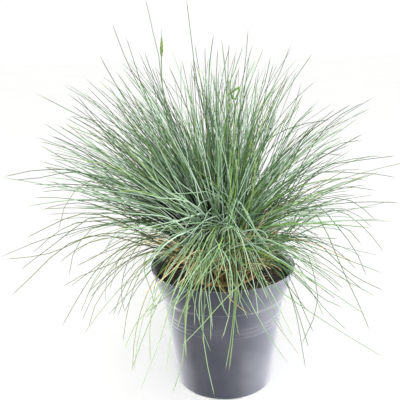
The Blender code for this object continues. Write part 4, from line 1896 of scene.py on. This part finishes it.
@dataclass
class Clump:
    """All the leaves: those traced from the photograph and those that fill the fountain."""

    camera: PhotoCamera
    fountain: Fountain
    pot: Pot
    rng: np.random.Generator
    solids_box: np.ndarray
    beyond_solids: float = 6 * MM
    stations: int = 13
    clearance: float = 1.2 * MM
    above_compost: float = 0.5 * MM
    rim_ease: Span = (44 * MM, 18 * MM)  # where the least height starts to rise, over how far
    beneath_rim: float = 14 * MM
    emerge: float = 0.12  # the share of a leaf's length that its neighbours hide
    depths: Depths = Depths()
    stray: Span = (26 * MM, 45 * MM)  # of a traced leaf in depth: its spread, and the most
    turn_over: Span = (227.0, 219.0)  # the pixel where the front leaves arch over
    turn_share: Span = (0.3, 0.12)  # how far towards its own way a leaf does so
    fan_height: float = 149 * MM  # where, on the axis, traced leaves fan out from
    traced_rank: Span = (0.06, 0.94)
    apron_rank: float = 0.5  # the most for those that hang before the pot
    face_foot: Spot = (0.45, -12 * MM, 0.2)  # share of the first X, Y, and share of the stray
    face_bow: float = 0.12
    neck_length: Span = (20 * MM, 70 * MM)  # the least, and that of a neck with a second knot
    neck_knots: tuple[int, int, int] = (21, 5, 9)  # its stations, and the two that are knots
    glimpsed: float = 0.1  # the share of a front leaf that is seen before it is clear of others
    low_left: Span = (135.0, 225.0)  # pixels: left of this column and below this row
    withered_light: float = 0.35
    filling: Filling = Filling()
    fullness: Fullness = Fullness()
    apron_span: Span = (210, 318)
    apron_bend: Spot = (28 * MM, 74 * MM, math.radians(125))  # start, end and lean at the edge
    basal_bunches: tuple[float, ...] = (205, 222, 345, 5, 40, 75, 110, 145)
    basal_spread: float = 8.0
    taper: tuple[float, ...] = (0.75, 6.0, 0.5, 1.3)  # at the foot, its rise, the loss, its power
    paths: list[np.ndarray] = field(default_factory=list)
    homes: list[np.ndarray] = field(default_factory=list)
    marks: dict[str, list[np.ndarray]] = field(default_factory=dict)

    def clear_of_pot(self, points: np.ndarray) -> np.ndarray:
        """Lift points that would pass through the compost or the rim.

        The least height eases from the compost's to just above the rim's. Points that are within
        the rim's width but well beneath it are pushed out past it instead.

        Args:
            points: (..., 3) points.

        Returns:
            The points, moved where they had to be.
        """
        away = np.hypot(points[..., 0], points[..., 1])
        compost = self.fountain.crown_edge + self.above_compost
        rim = self.pot.height + self.clearance
        start, over = self.rim_ease
        least = compost + (rim - compost) * smoothstep((away - start) / over)
        wall = self.pot.rim_radius + self.clearance
        inside = away < wall
        beneath = points[..., 2] < self.pot.height - self.beneath_rim
        lifted = points.copy()
        bound = np.maximum(points[..., 2], least)
        lifted[..., 2] = np.where(inside & ~beneath, bound, points[..., 2])
        grow = np.where(inside & beneath, wall / np.maximum(away, MM), 1.0)
        lifted[..., :2] *= grow[..., None]
        return lifted

    def within(self, paths: np.ndarray) -> np.ndarray:
        """Which leaves reach no further than beyond_solids outside the box of the solids.

        Args:
            paths: (leaf, station, 3) points.

        Returns:
            A yes or no for each leaf.
        """
        low, high = self.solids_box
        inside = (paths > low - self.beyond_solids) & (paths < high + self.beyond_solids)
        return inside.all(axis=(1, 2))

    def foot_of(self, rule: Depth, pixels: np.ndarray, stray: float) -> np.ndarray:
        """The foot's (x, y) of a traced leaf, from its tip and the fan's lean up to there.

        Args:
            rule: the leaf's kind.
            pixels: (n, 2), from the foot's side to the tip.
            stray: a length that sets it in front of or behind its neighbours.

        Returns:
            The place on the crown, on the side that the tip is on.
        """
        depth = self.depths.of(rule, pixels, 0.0, stray)
        rise = self.camera.at_depth(pixels, depth)[-1] - (0, 0, self.fan_height)
        rank = self.fountain.rank_for(math.acos(rise[2] / np.linalg.norm(rise)))
        least, most = self.traced_rank
        most = self.apron_rank if rule is Depth.APRON else most
        return unit(rise[:2]) * self.fountain.crown_radius * min(max(rank, least), most)

    def follow(
        self, rule: Depth, leaf: Sequence[float], stray: float, beyond: float
    ) -> tuple[np.ndarray, np.ndarray, float]:
        """Lead one traced leaf from the crown through the sight lines of its pixels.

        The path is the natural cubic through its foot, one or two points of the fountain's neck,
        and its pixels at their depths. A leaf that hangs before the pot first passes near the
        pixel where the front leaves turn over. One of the clump's face leaves its foot in a bow.

        Args:
            rule: the leaf's kind.
            leaf: the x and y of its pixels, from the tip towards the foot.
            stray: a length that sets it in front of or behind its neighbours.
            beyond: pixels that it runs on past its traced tip.

        Returns:
            Its path, its foot's (x, y), and the share of it that the clump hides.
        """
        pixels = np.reshape(leaf, (-1, 2))[::-1].astype(float)
        if beyond:
            on = pixels[-1] + beyond * unit(pixels[-1] - pixels[-3])
            pixels = np.vstack([pixels, on])
        if rule is Depth.APRON:
            over = self.turn_over + self.turn_share * (pixels[0] - self.turn_over)
            pixels = np.vstack([over, pixels])
        foot = self.foot_of(rule, pixels, stray)
        seen = self.camera.at_depth(pixels, self.depths.of(rule, pixels, foot[1], stray))
        if rule is Depth.FACE:
            share, front, strayed = self.face_foot
            foot = np.array([share * seen[0, 0], front + strayed * stray])
        start = self.fountain.start(foot)
        gap = np.linalg.norm(seen[0] - start)
        least, long = self.neck_length
        count, first, second = self.neck_knots
        length = np.array([max(gap, least)])
        neck = self.fountain.paths(foot[None], length, Habit.none(1), count)[0]
        knots = [start, neck[first]] + ([neck[second]] if gap > long else [])
        if rule is Depth.FACE:
            bow = self.face_bow * gap * unit(seen[1] - seen[0])
            knots = [start, (start + seen[0]) / 2 - bow]
        hidden = gap if rule in (Depth.FACE, Depth.APRON) else 0.0
        whole = gap + np.linalg.norm(np.diff(seen, axis=0), axis=1).sum()
        line = smooth_line(np.concatenate([knots, seen]), self.stations)
        return self.clear_of_pot(line), foot, max(hidden / whole - self.glimpsed, self.emerge)

    def trace(self, group: Traced) -> None:
        """Make a group of traced leaves; those low on the left are paler and drier.

        Args:
            group: leaves of one kind.
        """
        count = len(group.leaves)
        spread, most = self.stray
        stray = np.clip(self.rng.normal(0, spread, count), -most, most)
        beyond = self.rng.uniform(*group.beyond, count)
        rows = zip(group.leaves, stray, beyond)
        paths, feet, emerge = zip(*(self.follow(group.depth, *row) for row in rows))
        column, row = self.low_left
        low = np.array([leaf[0] < column and leaf[1] > row for leaf in group.leaves])
        withered = group.withered * low
        self.store(
            np.array(paths),
            np.array(feet),
            tone=self.rng.uniform(*group.tone, count),
            light=self.rng.uniform(*group.light, count) + self.withered_light * withered,
            dry=group.dry + withered,
            emerge=np.array(emerge),
            width=self.rng.uniform(*group.width, count) * MM,
        )

    def store(self, paths: np.ndarray, homes: np.ndarray, **marks: np.ndarray) -> None:
        """Keep leaves, where each starts on the crown, and their marks, for the pieces.

        Args:
            paths: (leaf, station, 3) points.
            homes: (leaf, 2) where each starts on the crown.
            marks: one number for each leaf under each name.
        """
        self.paths.append(paths)
        self.homes.append(homes)
        for name, numbers in marks.items():
            self.marks.setdefault(name, []).append(numbers)

    def fill(self) -> None:
        """Fill the fountain with leaves about every place on the crown.

        Each strays on its own and with its shoot, and stands if the fan's fullness lets it. Those
        near the camera lose light, low ones turn greener, and low ones on the left wither.
        """
        rule, fountain, rng = self.filling, self.fountain, self.rng
        middles = fountain.middles
        outward = np.linalg.norm(middles, axis=1) / fountain.crown_radius
        fall = smoothstep((outward - rule.middle_rank) / (1 - rule.middle_rank))
        inner, outer = rule.per_tuft
        numbers = np.round(inner + (outer - inner) * fall).astype(int)
        index = np.repeat(np.arange(fountain.places), numbers)
        count = len(index)
        spread = fountain.cell * rule.spread * np.sqrt(rng.random(count))
        address = middles[index] + polar(spread, rng.uniform(0, 2 * np.pi, count))
        address = fountain.on_crown(address)
        rank = np.linalg.norm(address, axis=1) / fountain.crown_radius
        least, gain = rule.share
        share = least + gain * rng.beta(*rule.share_beta, count)
        vigour = rng.uniform(*rule.vigour, fountain.places)[index]
        length = fountain.reach(address) * np.minimum(share * vigour, 1)
        right = np.maximum(address[:, 0], 0)
        length *= 1 - rule.short_on_the_right * right / fountain.crown_radius
        habit = Habit.drawn(rng, count, *rule.own)
        shoot = Habit.drawn(rng, fountain.places, *rule.shoot)
        strayed = {name: getattr(shoot, name)[index] for name in ("lean", "turn", "curl")}
        both = {name: getattr(habit, name) + more for name, more in strayed.items()}
        habit = replace(habit, **both)
        paths = self.clear_of_pot(fountain.paths(address, length, habit, self.stations))
        parted = self.fullness.parted * self.fullness.parting(paths, self.camera)
        stands = self.fullness.of(paths[:, -1], self.camera) * (1 - parted) * self.within(paths)
        kept = rng.random(count) < stands
        paths, address, rank, count = paths[kept], address[kept], rank[kept], int(kept.sum())
        dry = (rng.random(count) < rule.dead * rank**4) * rng.uniform(*rule.deadness, count)
        mean, wide, most = rule.tone
        tone = np.clip(rng.normal(mean, wide, count), 0, most)
        fresh, pale = rng.random(count) < rule.fresh, rng.random(count) < rule.pale
        light = rng.uniform(*rule.pale_light, count), rng.uniform(*rule.dark_light, count)
        light = np.where(pale, *light)
        tip_x, tip_y, tip_z = paths[:, -1].T
        near = smoothstep((-tip_y - rule.near[0]) / rule.near[1])
        above, lost = rule.near_light
        light = light - lost * near * np.maximum(light - above, 0)
        low = smoothstep((rule.low[0] - tip_z) / rule.low[1])
        west = smoothstep((-tip_x - rule.west[0]) / rule.west[1])
        yellow = rng.uniform(*rule.fresh_tone, count)
        tone = np.where(fresh, yellow, np.where(pale, rule.pale_tone * tone, tone))
        width = rng.uniform(*rule.width, count) * np.where(pale, rule.pale_width, 1.0)
        self.store(
            paths,
            address,
            tone=tone + rule.low_tone * low * (1 - tone),
            light=light + rule.low_light * low * (rule.low_light - light),
            dry=dry * (1 - low) + rule.withered * low * west,
            emerge=np.full(count, self.emerge),
            width=width,
        )

    def sow(self, batch: Batch, fountain: Fountain, away: np.ndarray, turn: np.ndarray) -> None:
        """Let leaves follow a fountain from feet this far and this way from the axis.

        Args:
            batch: how they are drawn.
            fountain: how they flow.
            away: how far each foot is from the axis.
            turn: the angle of each foot round the axis.
        """
        count, rng = batch.count, self.rng
        address = polar(away, turn)
        habit = Habit.drawn(rng, count, *batch.habit)
        length = rng.uniform(*batch.length, count)
        hidden = np.full(count, self.emerge) if batch.hidden is None else batch.hidden / length
        self.store(
            self.clear_of_pot(fountain.paths(address, length, habit, self.stations)),
            address,
            tone=rng.uniform(*batch.tone, count),
            light=rng.uniform(*batch.light, count),
            dry=(rng.random(count) < batch.dead) * rng.uniform(0.5, 1, count),
            emerge=hidden,
            width=rng.uniform(*batch.width_mm, count) * MM,
        )

    def apron(self) -> None:
        """Let leaves of the front rise as the neck does, then arch over and hang before it."""
        turn = np.radians(self.rng.uniform(*self.apron_span, HANGING.count))
        away = self.fountain.crown_radius * self.rng.uniform(*HANGING.ranks, HANGING.count)
        start, end, lean = self.apron_bend
        steep = replace(self.fountain, bend_start=start, bend_end=end, lean_at_edge=lean)
        self.sow(HANGING, steep, away, turn)

    def skirt(self) -> None:
        """Set short leaves in bunches at the crown's edge, which arch low over the compost."""
        away = self.fountain.crown_radius * self.rng.uniform(*BASAL.ranks, BASAL.count)
        bunch = self.rng.choice(self.basal_bunches, BASAL.count)
        turn = np.radians(bunch + self.rng.normal(0, self.basal_spread, BASAL.count))
        self.sow(BASAL, self.fountain, away, turn)

    def build(self, finish: Material, taken: tuple[int, ...]) -> int:
        """Sweep every leaf and gather the leaves of each shoot into one piece.

        A leaf belongs to the shoot whose place on the crown is nearest its foot.

        Args:
            finish: the leaf's own material.
            taken: places on the crown that carry flower stalks instead.

        Returns:
            How many leaves there are.
        """
        paths, homes = np.concatenate(self.paths), np.concatenate(self.homes)
        marks = {name: np.concatenate(numbers) for name, numbers in self.marks.items()}
        width = marks.pop("width")
        shoots = [i for i in range(self.fountain.places) if i not in taken]
        middles = self.fountain.middles[shoots]
        nearest = np.linalg.norm(homes[:, None] - middles[None], axis=-1).argmin(axis=1)
        share = stations_to_tip(self.stations)
        foot, full, thinner, power = self.taper
        taper = (foot + (1 - foot) * smoothstep(share * full)) * (1 - thinner * share**power)
        x, y, _ = (paths[:, -1] - paths[:, 0]).T
        sides = square_to(np.arctan2(y, x))
        for number, shoot in enumerate(shoots):
            mine = nearest == number
            tuft = sweep(paths[mine], sides[mine], width[mine][:, None] * taper, NEEDLE)
            own = {name: numbers[mine] for name, numbers in marks.items()}
            per_shell(tuft, int(mine.sum()), **own)
            name = f"leaf_tuft_{shoot:02d}"
            keep(tuft.to_piece(f"needles_{shoot:02d}", finish), "leaf", name)
        return len(paths)


# ---- the crown


@dataclass
class Crown:
    """The crown: the dome of packed shoot bases, its sheaths, and the dead leaves round it."""

    fountain: Fountain
    clump: Clump
    rng: np.random.Generator
    foot: float = 94.3 * MM
    segments: int = 96
    rings: int = 15
    lump: Spot = (3.2 * MM, 0.9 * MM, 3 * MM)  # size, height, and over how far they come in
    sheaths_per_place: int = 9
    sheath_spread: float = 0.42  # how far a sheath strays from its place, in cells of the crown
    sheath_length_mm: Span = (8, 22)
    sheath_width_mm: Span = (1.3, 2.1)
    sheath_taper: tuple[float, ...] = (0.9, 1, 0.95, 0.8, 0.6, 0.3)
    sheath_side: Spot = (1.0, 0.2, 0.0)
    dead_leaves: int = 600
    dead_stations: int = 11
    dead_ranks: Span = (0.35, 0.98)  # squared
    dead_bunches: tuple[float, ...] = (203, 214, 228, 305, 25, 95, 150)
    bunched: Span = (9.0, 0.6)  # spread of a bunch in degrees, and the share of leaves in one
    dead_length_mm: Span = (16, 50)  # the least, and what a beta adds to it
    standing: Spot = (0.5, 0.6, -0.5)  # the share that stands, how much less it strays, its lean
    dead_width_mm: Span = (0.6, 1.1)
    dead_taper: Span = (3.0, 0.8)  # powers of the share passed, and of what that leaves of 1

    def dome(self) -> Surface:
        """The closed dome, its top made lumpy.

        Returns:
            The dome, with a leaf's marks.
        """
        away = self.fountain.crown_radius * np.linspace(1, 0, self.rings)
        radii = np.array([0, away[0], *away])
        heights = np.array([self.foot, self.foot, *self.fountain.crown_height(away)])
        shell = lathe(radii, heights, self.segments)
        x, y, z = shell.points.T
        size, height, over = self.lump
        lumps = Lumps(size, self.rng, 32)
        fade = smoothstep((self.fountain.crown_radius - np.hypot(x, y)) / over)
        shell.points[:, 2] = z + np.where(z > self.foot + MM, height * lumps.at(x, y) * fade, 0)
        return per_shell(shell, 1, along=0.3, across=0.0, tone=0.5, light=0.25, dry=0.9)

    def sheaths(self) -> Surface:
        """Short stiff leaf sheaths, many about each place, along the foot of the fountain.

        Returns:
            The sheaths, with their marks.
        """
        middles = np.repeat(self.fountain.middles, self.sheaths_per_place, axis=0)
        count, rng = len(middles), self.rng
        stray = rng.normal(0, self.sheath_spread * self.fountain.cell, (count, 2))
        address = self.fountain.on_crown(middles + stray)
        length = rng.uniform(*self.sheath_length_mm, count) * MM
        habit = Habit.drawn(rng, count, math.degrees(0.1), 0, math.degrees(0.3))
        paths = self.fountain.paths(address, length, habit, len(self.sheath_taper))
        radii = np.outer(rng.uniform(*self.sheath_width_mm, count), self.sheath_taper) * MM
        sides = np.tile(self.sheath_side, (count, 1))
        return per_shell(
            sweep(paths, sides, radii, NEEDLE),
            count,
            tone=rng.uniform(0.4, 0.9, count),
            light=rng.beta(2, 2, count) * 0.8,
            dry=rng.uniform(0.35, 1, count),
        )

    def thatch(self) -> Surface:
        """Dead leaves: curled, short and brittle, half of them low and half standing steeper.

        Returns:
            The dead leaves, with their marks.
        """
        count, rng = self.dead_leaves, self.rng
        spread, share = self.bunched
        bunch = np.radians(rng.choice(self.dead_bunches, count) + rng.normal(0, spread, count))
        turn = np.where(rng.random(count) < share, bunch, rng.uniform(0, 2 * np.pi, count))
        away = self.fountain.crown_radius * np.sqrt(rng.uniform(*self.dead_ranks, count))
        least, gain = self.dead_length_mm
        length = (least + gain * rng.beta(1.6, 2.4, count)) * MM
        habit = Habit.drawn(rng, count, 24, 0, 38, 0.6, 6 * MM)
        share, stray, lean = self.standing
        steep = np.where(rng.random(count) < share, stray * habit.lean + lean, habit.lean)
        habit = replace(habit, lean=steep)
        paths = self.fountain.paths(polar(away, turn), length, habit, self.dead_stations)
        passed = np.linspace(0, 1, self.dead_stations)
        early, late = self.dead_taper
        widths = rng.uniform(*self.dead_width_mm, count)[:, None] * MM
        widths = widths * (1 - passed**early) ** late
        sides = square_to(turn)
        sides[:, 2] = rng.normal(0, 0.5, count)
        return per_shell(
            sweep(self.clump.clear_of_pot(paths), sides, widths, NEEDLE),
            count,
            tone=0.8,
            light=rng.beta(2.4, 1.6, count),
            dry=rng.uniform(0.85, 1, count),
        )

    def build(self, finish: Material) -> None:
        """Make the crown with its sheaths, and the thatch.

        Args:
            finish: the dry leaves' material.
        """
        crown = joined([self.dome(), self.sheaths()])
        keep(crown.to_piece("crown_and_sheaths", finish), "dry_sheath", "crown")
        keep(self.thatch().to_piece("thatch_of_dead_leaves", finish), "dry_sheath")


# ---- flower stalks


@dataclass(frozen=True)
class FlowerStalks:
    """The ripe narrow spike left of the middle and the young, kinked one right of it.

    Places in the photograph are in pixels, and sizes of the spike in mm.
    """

    camera: PhotoCamera
    fountain: Fountain
    places: tuple[int, int] = (1, 0)
    depth: float = 0.0
    rise_share: float = 0.55  # how far from its foot's depth to its own a stalk is when first seen
    neck: Span = (16 * MM, 0.05)  # how high it rises straight, and how far it leans by then
    stem_stations: int = 40
    culm: Path = ((176.0, 150.0), (164.5, 102.0), (161.4, 71.0), (161.4, 57.5), (161.5, 46.0))
    culm_widths: Span = (1.15, 0.7)
    culm_width: float = 1.1 * MM
    spike: Path = ((161.4, 57.5), (161.6, 35.5), (161.7, 28.0))  # foot, top and point of the awn
    spikelets: int = 30
    wind: float = 2.4  # the turn from one spikelet to the next
    spikelet_length: Span = (5.2, 1.0)  # and how much shorter the top one is
    bow: Spot = (0.95, 0.75, 0.4)  # how far it bows out, the half waves of that, and its fading
    fullness: Path = ((0, 0.8), (0.3, 1.45), (0.7, 0.9), (1, 0.2))  # (share of height, size)
    lens: tuple[float, ...] = (0.1, 0.55, 0.9, 1.0, 0.92, 0.7, 0.42, 0.16, 0.05)
    husk_width: Span = (0.6, 0.7)  # at no fullness, and what fullness adds
    husk_half: Span = (0.5, 0.36)
    spiked: float = 0.8  # the share of the spike's height that spikelets start from
    awn_widths: Span = (0.5, 0.18)
    young: Path = ((230.0, 170.0), (233.6, 130.0), (234.8, 105.0), (234.0, 98.5))
    young_widths: Span = (1.0, 1.25)
    kink_stations: int = 14
    kinks: tuple[Path, ...] = (
        ((234.2, 99.5), (231.6, 95.5), (230.4, 91), (230.3, 87.9)),
        ((232, 92.2), (235.5, 89.4), (239.9, 86.9)),
        ((239.8, 86.6), (239.4, 89), (238.3, 92.5), (236.4, 97), (235.4, 100.5)),
    )
    kink_widths: tuple[Spot, ...] = ((2.0, 1.8, 0.9), (1.7, 1.8, 1.5), (1.9, 1.7, 0.8))

    @staticmethod
    def tube(line: np.ndarray, widths: np.ndarray, corners: int = 8) -> Surface:
        """One closed round stem along a line, a width at each station."""
        return sweep(line[None], np.array([[1.0, 0.0, 0.0]]), widths[None], oval(corners))

    def rise(self, place: int, pixels: Path) -> np.ndarray:
        """A line from a place on the crown up through these pixels, foot first.

        Args:
            place: number of a place on the crown.
            pixels: where the photograph shows the stalk, from below.

        Returns:
            (station, 3) points.
        """
        address = self.fountain.place(place)
        start = self.fountain.start(address)
        share = np.linspace(self.rise_share, 1, len(pixels))
        depths = address[1] + (self.depth - address[1]) * share
        seen = self.camera.at_depth(np.array(pixels, float), depths)
        high, lean = self.neck
        neck = start + np.array([0, 0, high]) + lean * (seen[0] - start)
        return smooth_line(np.concatenate([[start, neck], seen]), self.stem_stations)

    def panicle(self) -> Surface:
        """A spike of lens-shaped, bowed spikelets that wind up the stalk, and one awn above.

        Returns:
            The spikelets and the awn, with their marks.
        """
        foot, top, bristle = self.camera.at_depth(np.array(self.spike), np.full(3, self.depth))
        axis, tall = unit(top - foot), np.linalg.norm(top - foot)
        count, stations = self.spikelets, len(self.lens)
        share = (np.arange(count) + 0.3) / count
        turn = np.arange(count) * self.wind
        out = np.stack([np.cos(turn), np.sin(turn), 0 * turn], axis=1)
        start = foot + share[:, None] * self.spiked * tall * axis
        longest, less = self.spikelet_length
        length = (longest - less * share)[:, None, None] * MM
        along = np.linspace(0, 1, stations)
        far, waves, fading = self.bow
        bow = (far * np.sin(np.pi * along * waves) * (1 - fading * along))[None, :, None] * MM
        full = np.interp(share, *np.array(self.fullness).T)
        lean = bow * full[:, None, None]
        lines = start[:, None] + length * along[None, :, None] * axis + lean * out[:, None]
        bare, gain = self.husk_width
        widths = (bare + gain * full)[:, None] * np.array(self.lens) * MM
        husks = sweep(lines, np.cross(out, axis), widths, oval(8, *self.husk_half))
        line = np.linspace(foot + self.spiked * tall * axis, bristle, 8)
        awn = self.tube(line, np.linspace(*self.awn_widths, 8) * MM, 5)
        per_shell(
            husks,
            count,
            tone=0.72 + 0.12 * np.sin(turn * 5),
            light=0.5 + 0.1 * np.sin(turn * 3),
            dry=0.15 + 0.15 * (np.arange(count) % 3 == 0),
        )
        return joined([husks, per_shell(awn, 1, tone=0.7, light=0.4, dry=0.3)])

    def build(self, finish: Material) -> None:
        """Make both stalks; each stands for its own CAD node.

        Args:
            finish: the stalks' material.
        """
        line = self.rise(self.places[0], self.culm)
        stalk = self.tube(line, np.linspace(*self.culm_widths, len(line)) * self.culm_width)
        per_shell(stalk, 1, tone=0.62, light=0.5, dry=0.1)
        whole = joined([stalk, self.panicle()])
        keep(whole.to_piece("ripe_flower_stalk", finish), "flower", "flower_stalk")

        stem = self.rise(self.places[1], self.young)
        young = [self.tube(stem, np.linspace(*self.young_widths, len(stem)) * MM)]
        share = np.linspace(0, 1, self.kink_stations)
        for kink, sizes in zip(self.kinks, self.kink_widths):
            seen = self.camera.at_depth(np.array(kink), np.full(len(kink), stem[-1, 1]))
            widths = np.interp(share, [0, 0.5, 1], sizes) * MM
            young.append(self.tube(smooth_line(seen, self.kink_stations), widths))
        for part in young:
            per_shell(part, 1, tone=0.8, light=0.55, dry=0.0)
        keep(joined(young).to_piece("young_flower_stalk", finish), "flower", "young_stalk")


# ---- the whole plant


def main() -> None:
    """Build the studio and every piece of the potted clump, in order."""
    logging.basicConfig(level=logging.INFO, format="%(name)s: %(message)s")
    rng = np.random.default_rng(SEED)
    camera = PhotoCamera()
    camera.add()
    studio = Studio()
    studio.add()
    pot = Pot()
    studio.shine(studio.softboxes, pot.build(MouldedPolypropylene().build()))
    log.info("pot made, %d steps round", pot.segments)
    fountain = Fountain()
    compost = Compost(pot, fountain.crown_radius, rng)
    compost.build(PeatCompost().build())
    log.info("compost made, %d crumbs and %d fibres", compost.crumbs, compost.fibres)
    clump = Clump(camera, fountain, pot, rng, np.array(cad_box))
    for group in (TOP, SIDES, FRONT, FACE, FACE_RIGHT, FRESH, STRAW, LOW_STRAW):
        clump.trace(group)
    clump.fill()
    clump.apron()
    clump.skirt()
    stalks = FlowerStalks(camera, fountain)
    leaves = clump.build(FescueLeaf().build(), stalks.places)
    log.info("%d leaves made", leaves)
    dead = FescueLeaf(name="dry_fescue_leaf", roughness=0.75, brightness=(0.8, 1.6))
    Crown(fountain, clump, rng).build(dead.build())
    log.info("crown and thatch made")
    stalks.build(FescueLeaf(name="fescue_flower_stalk").build())
    log.info("flower stalks made")


if __name__ == "__main__":
    main()
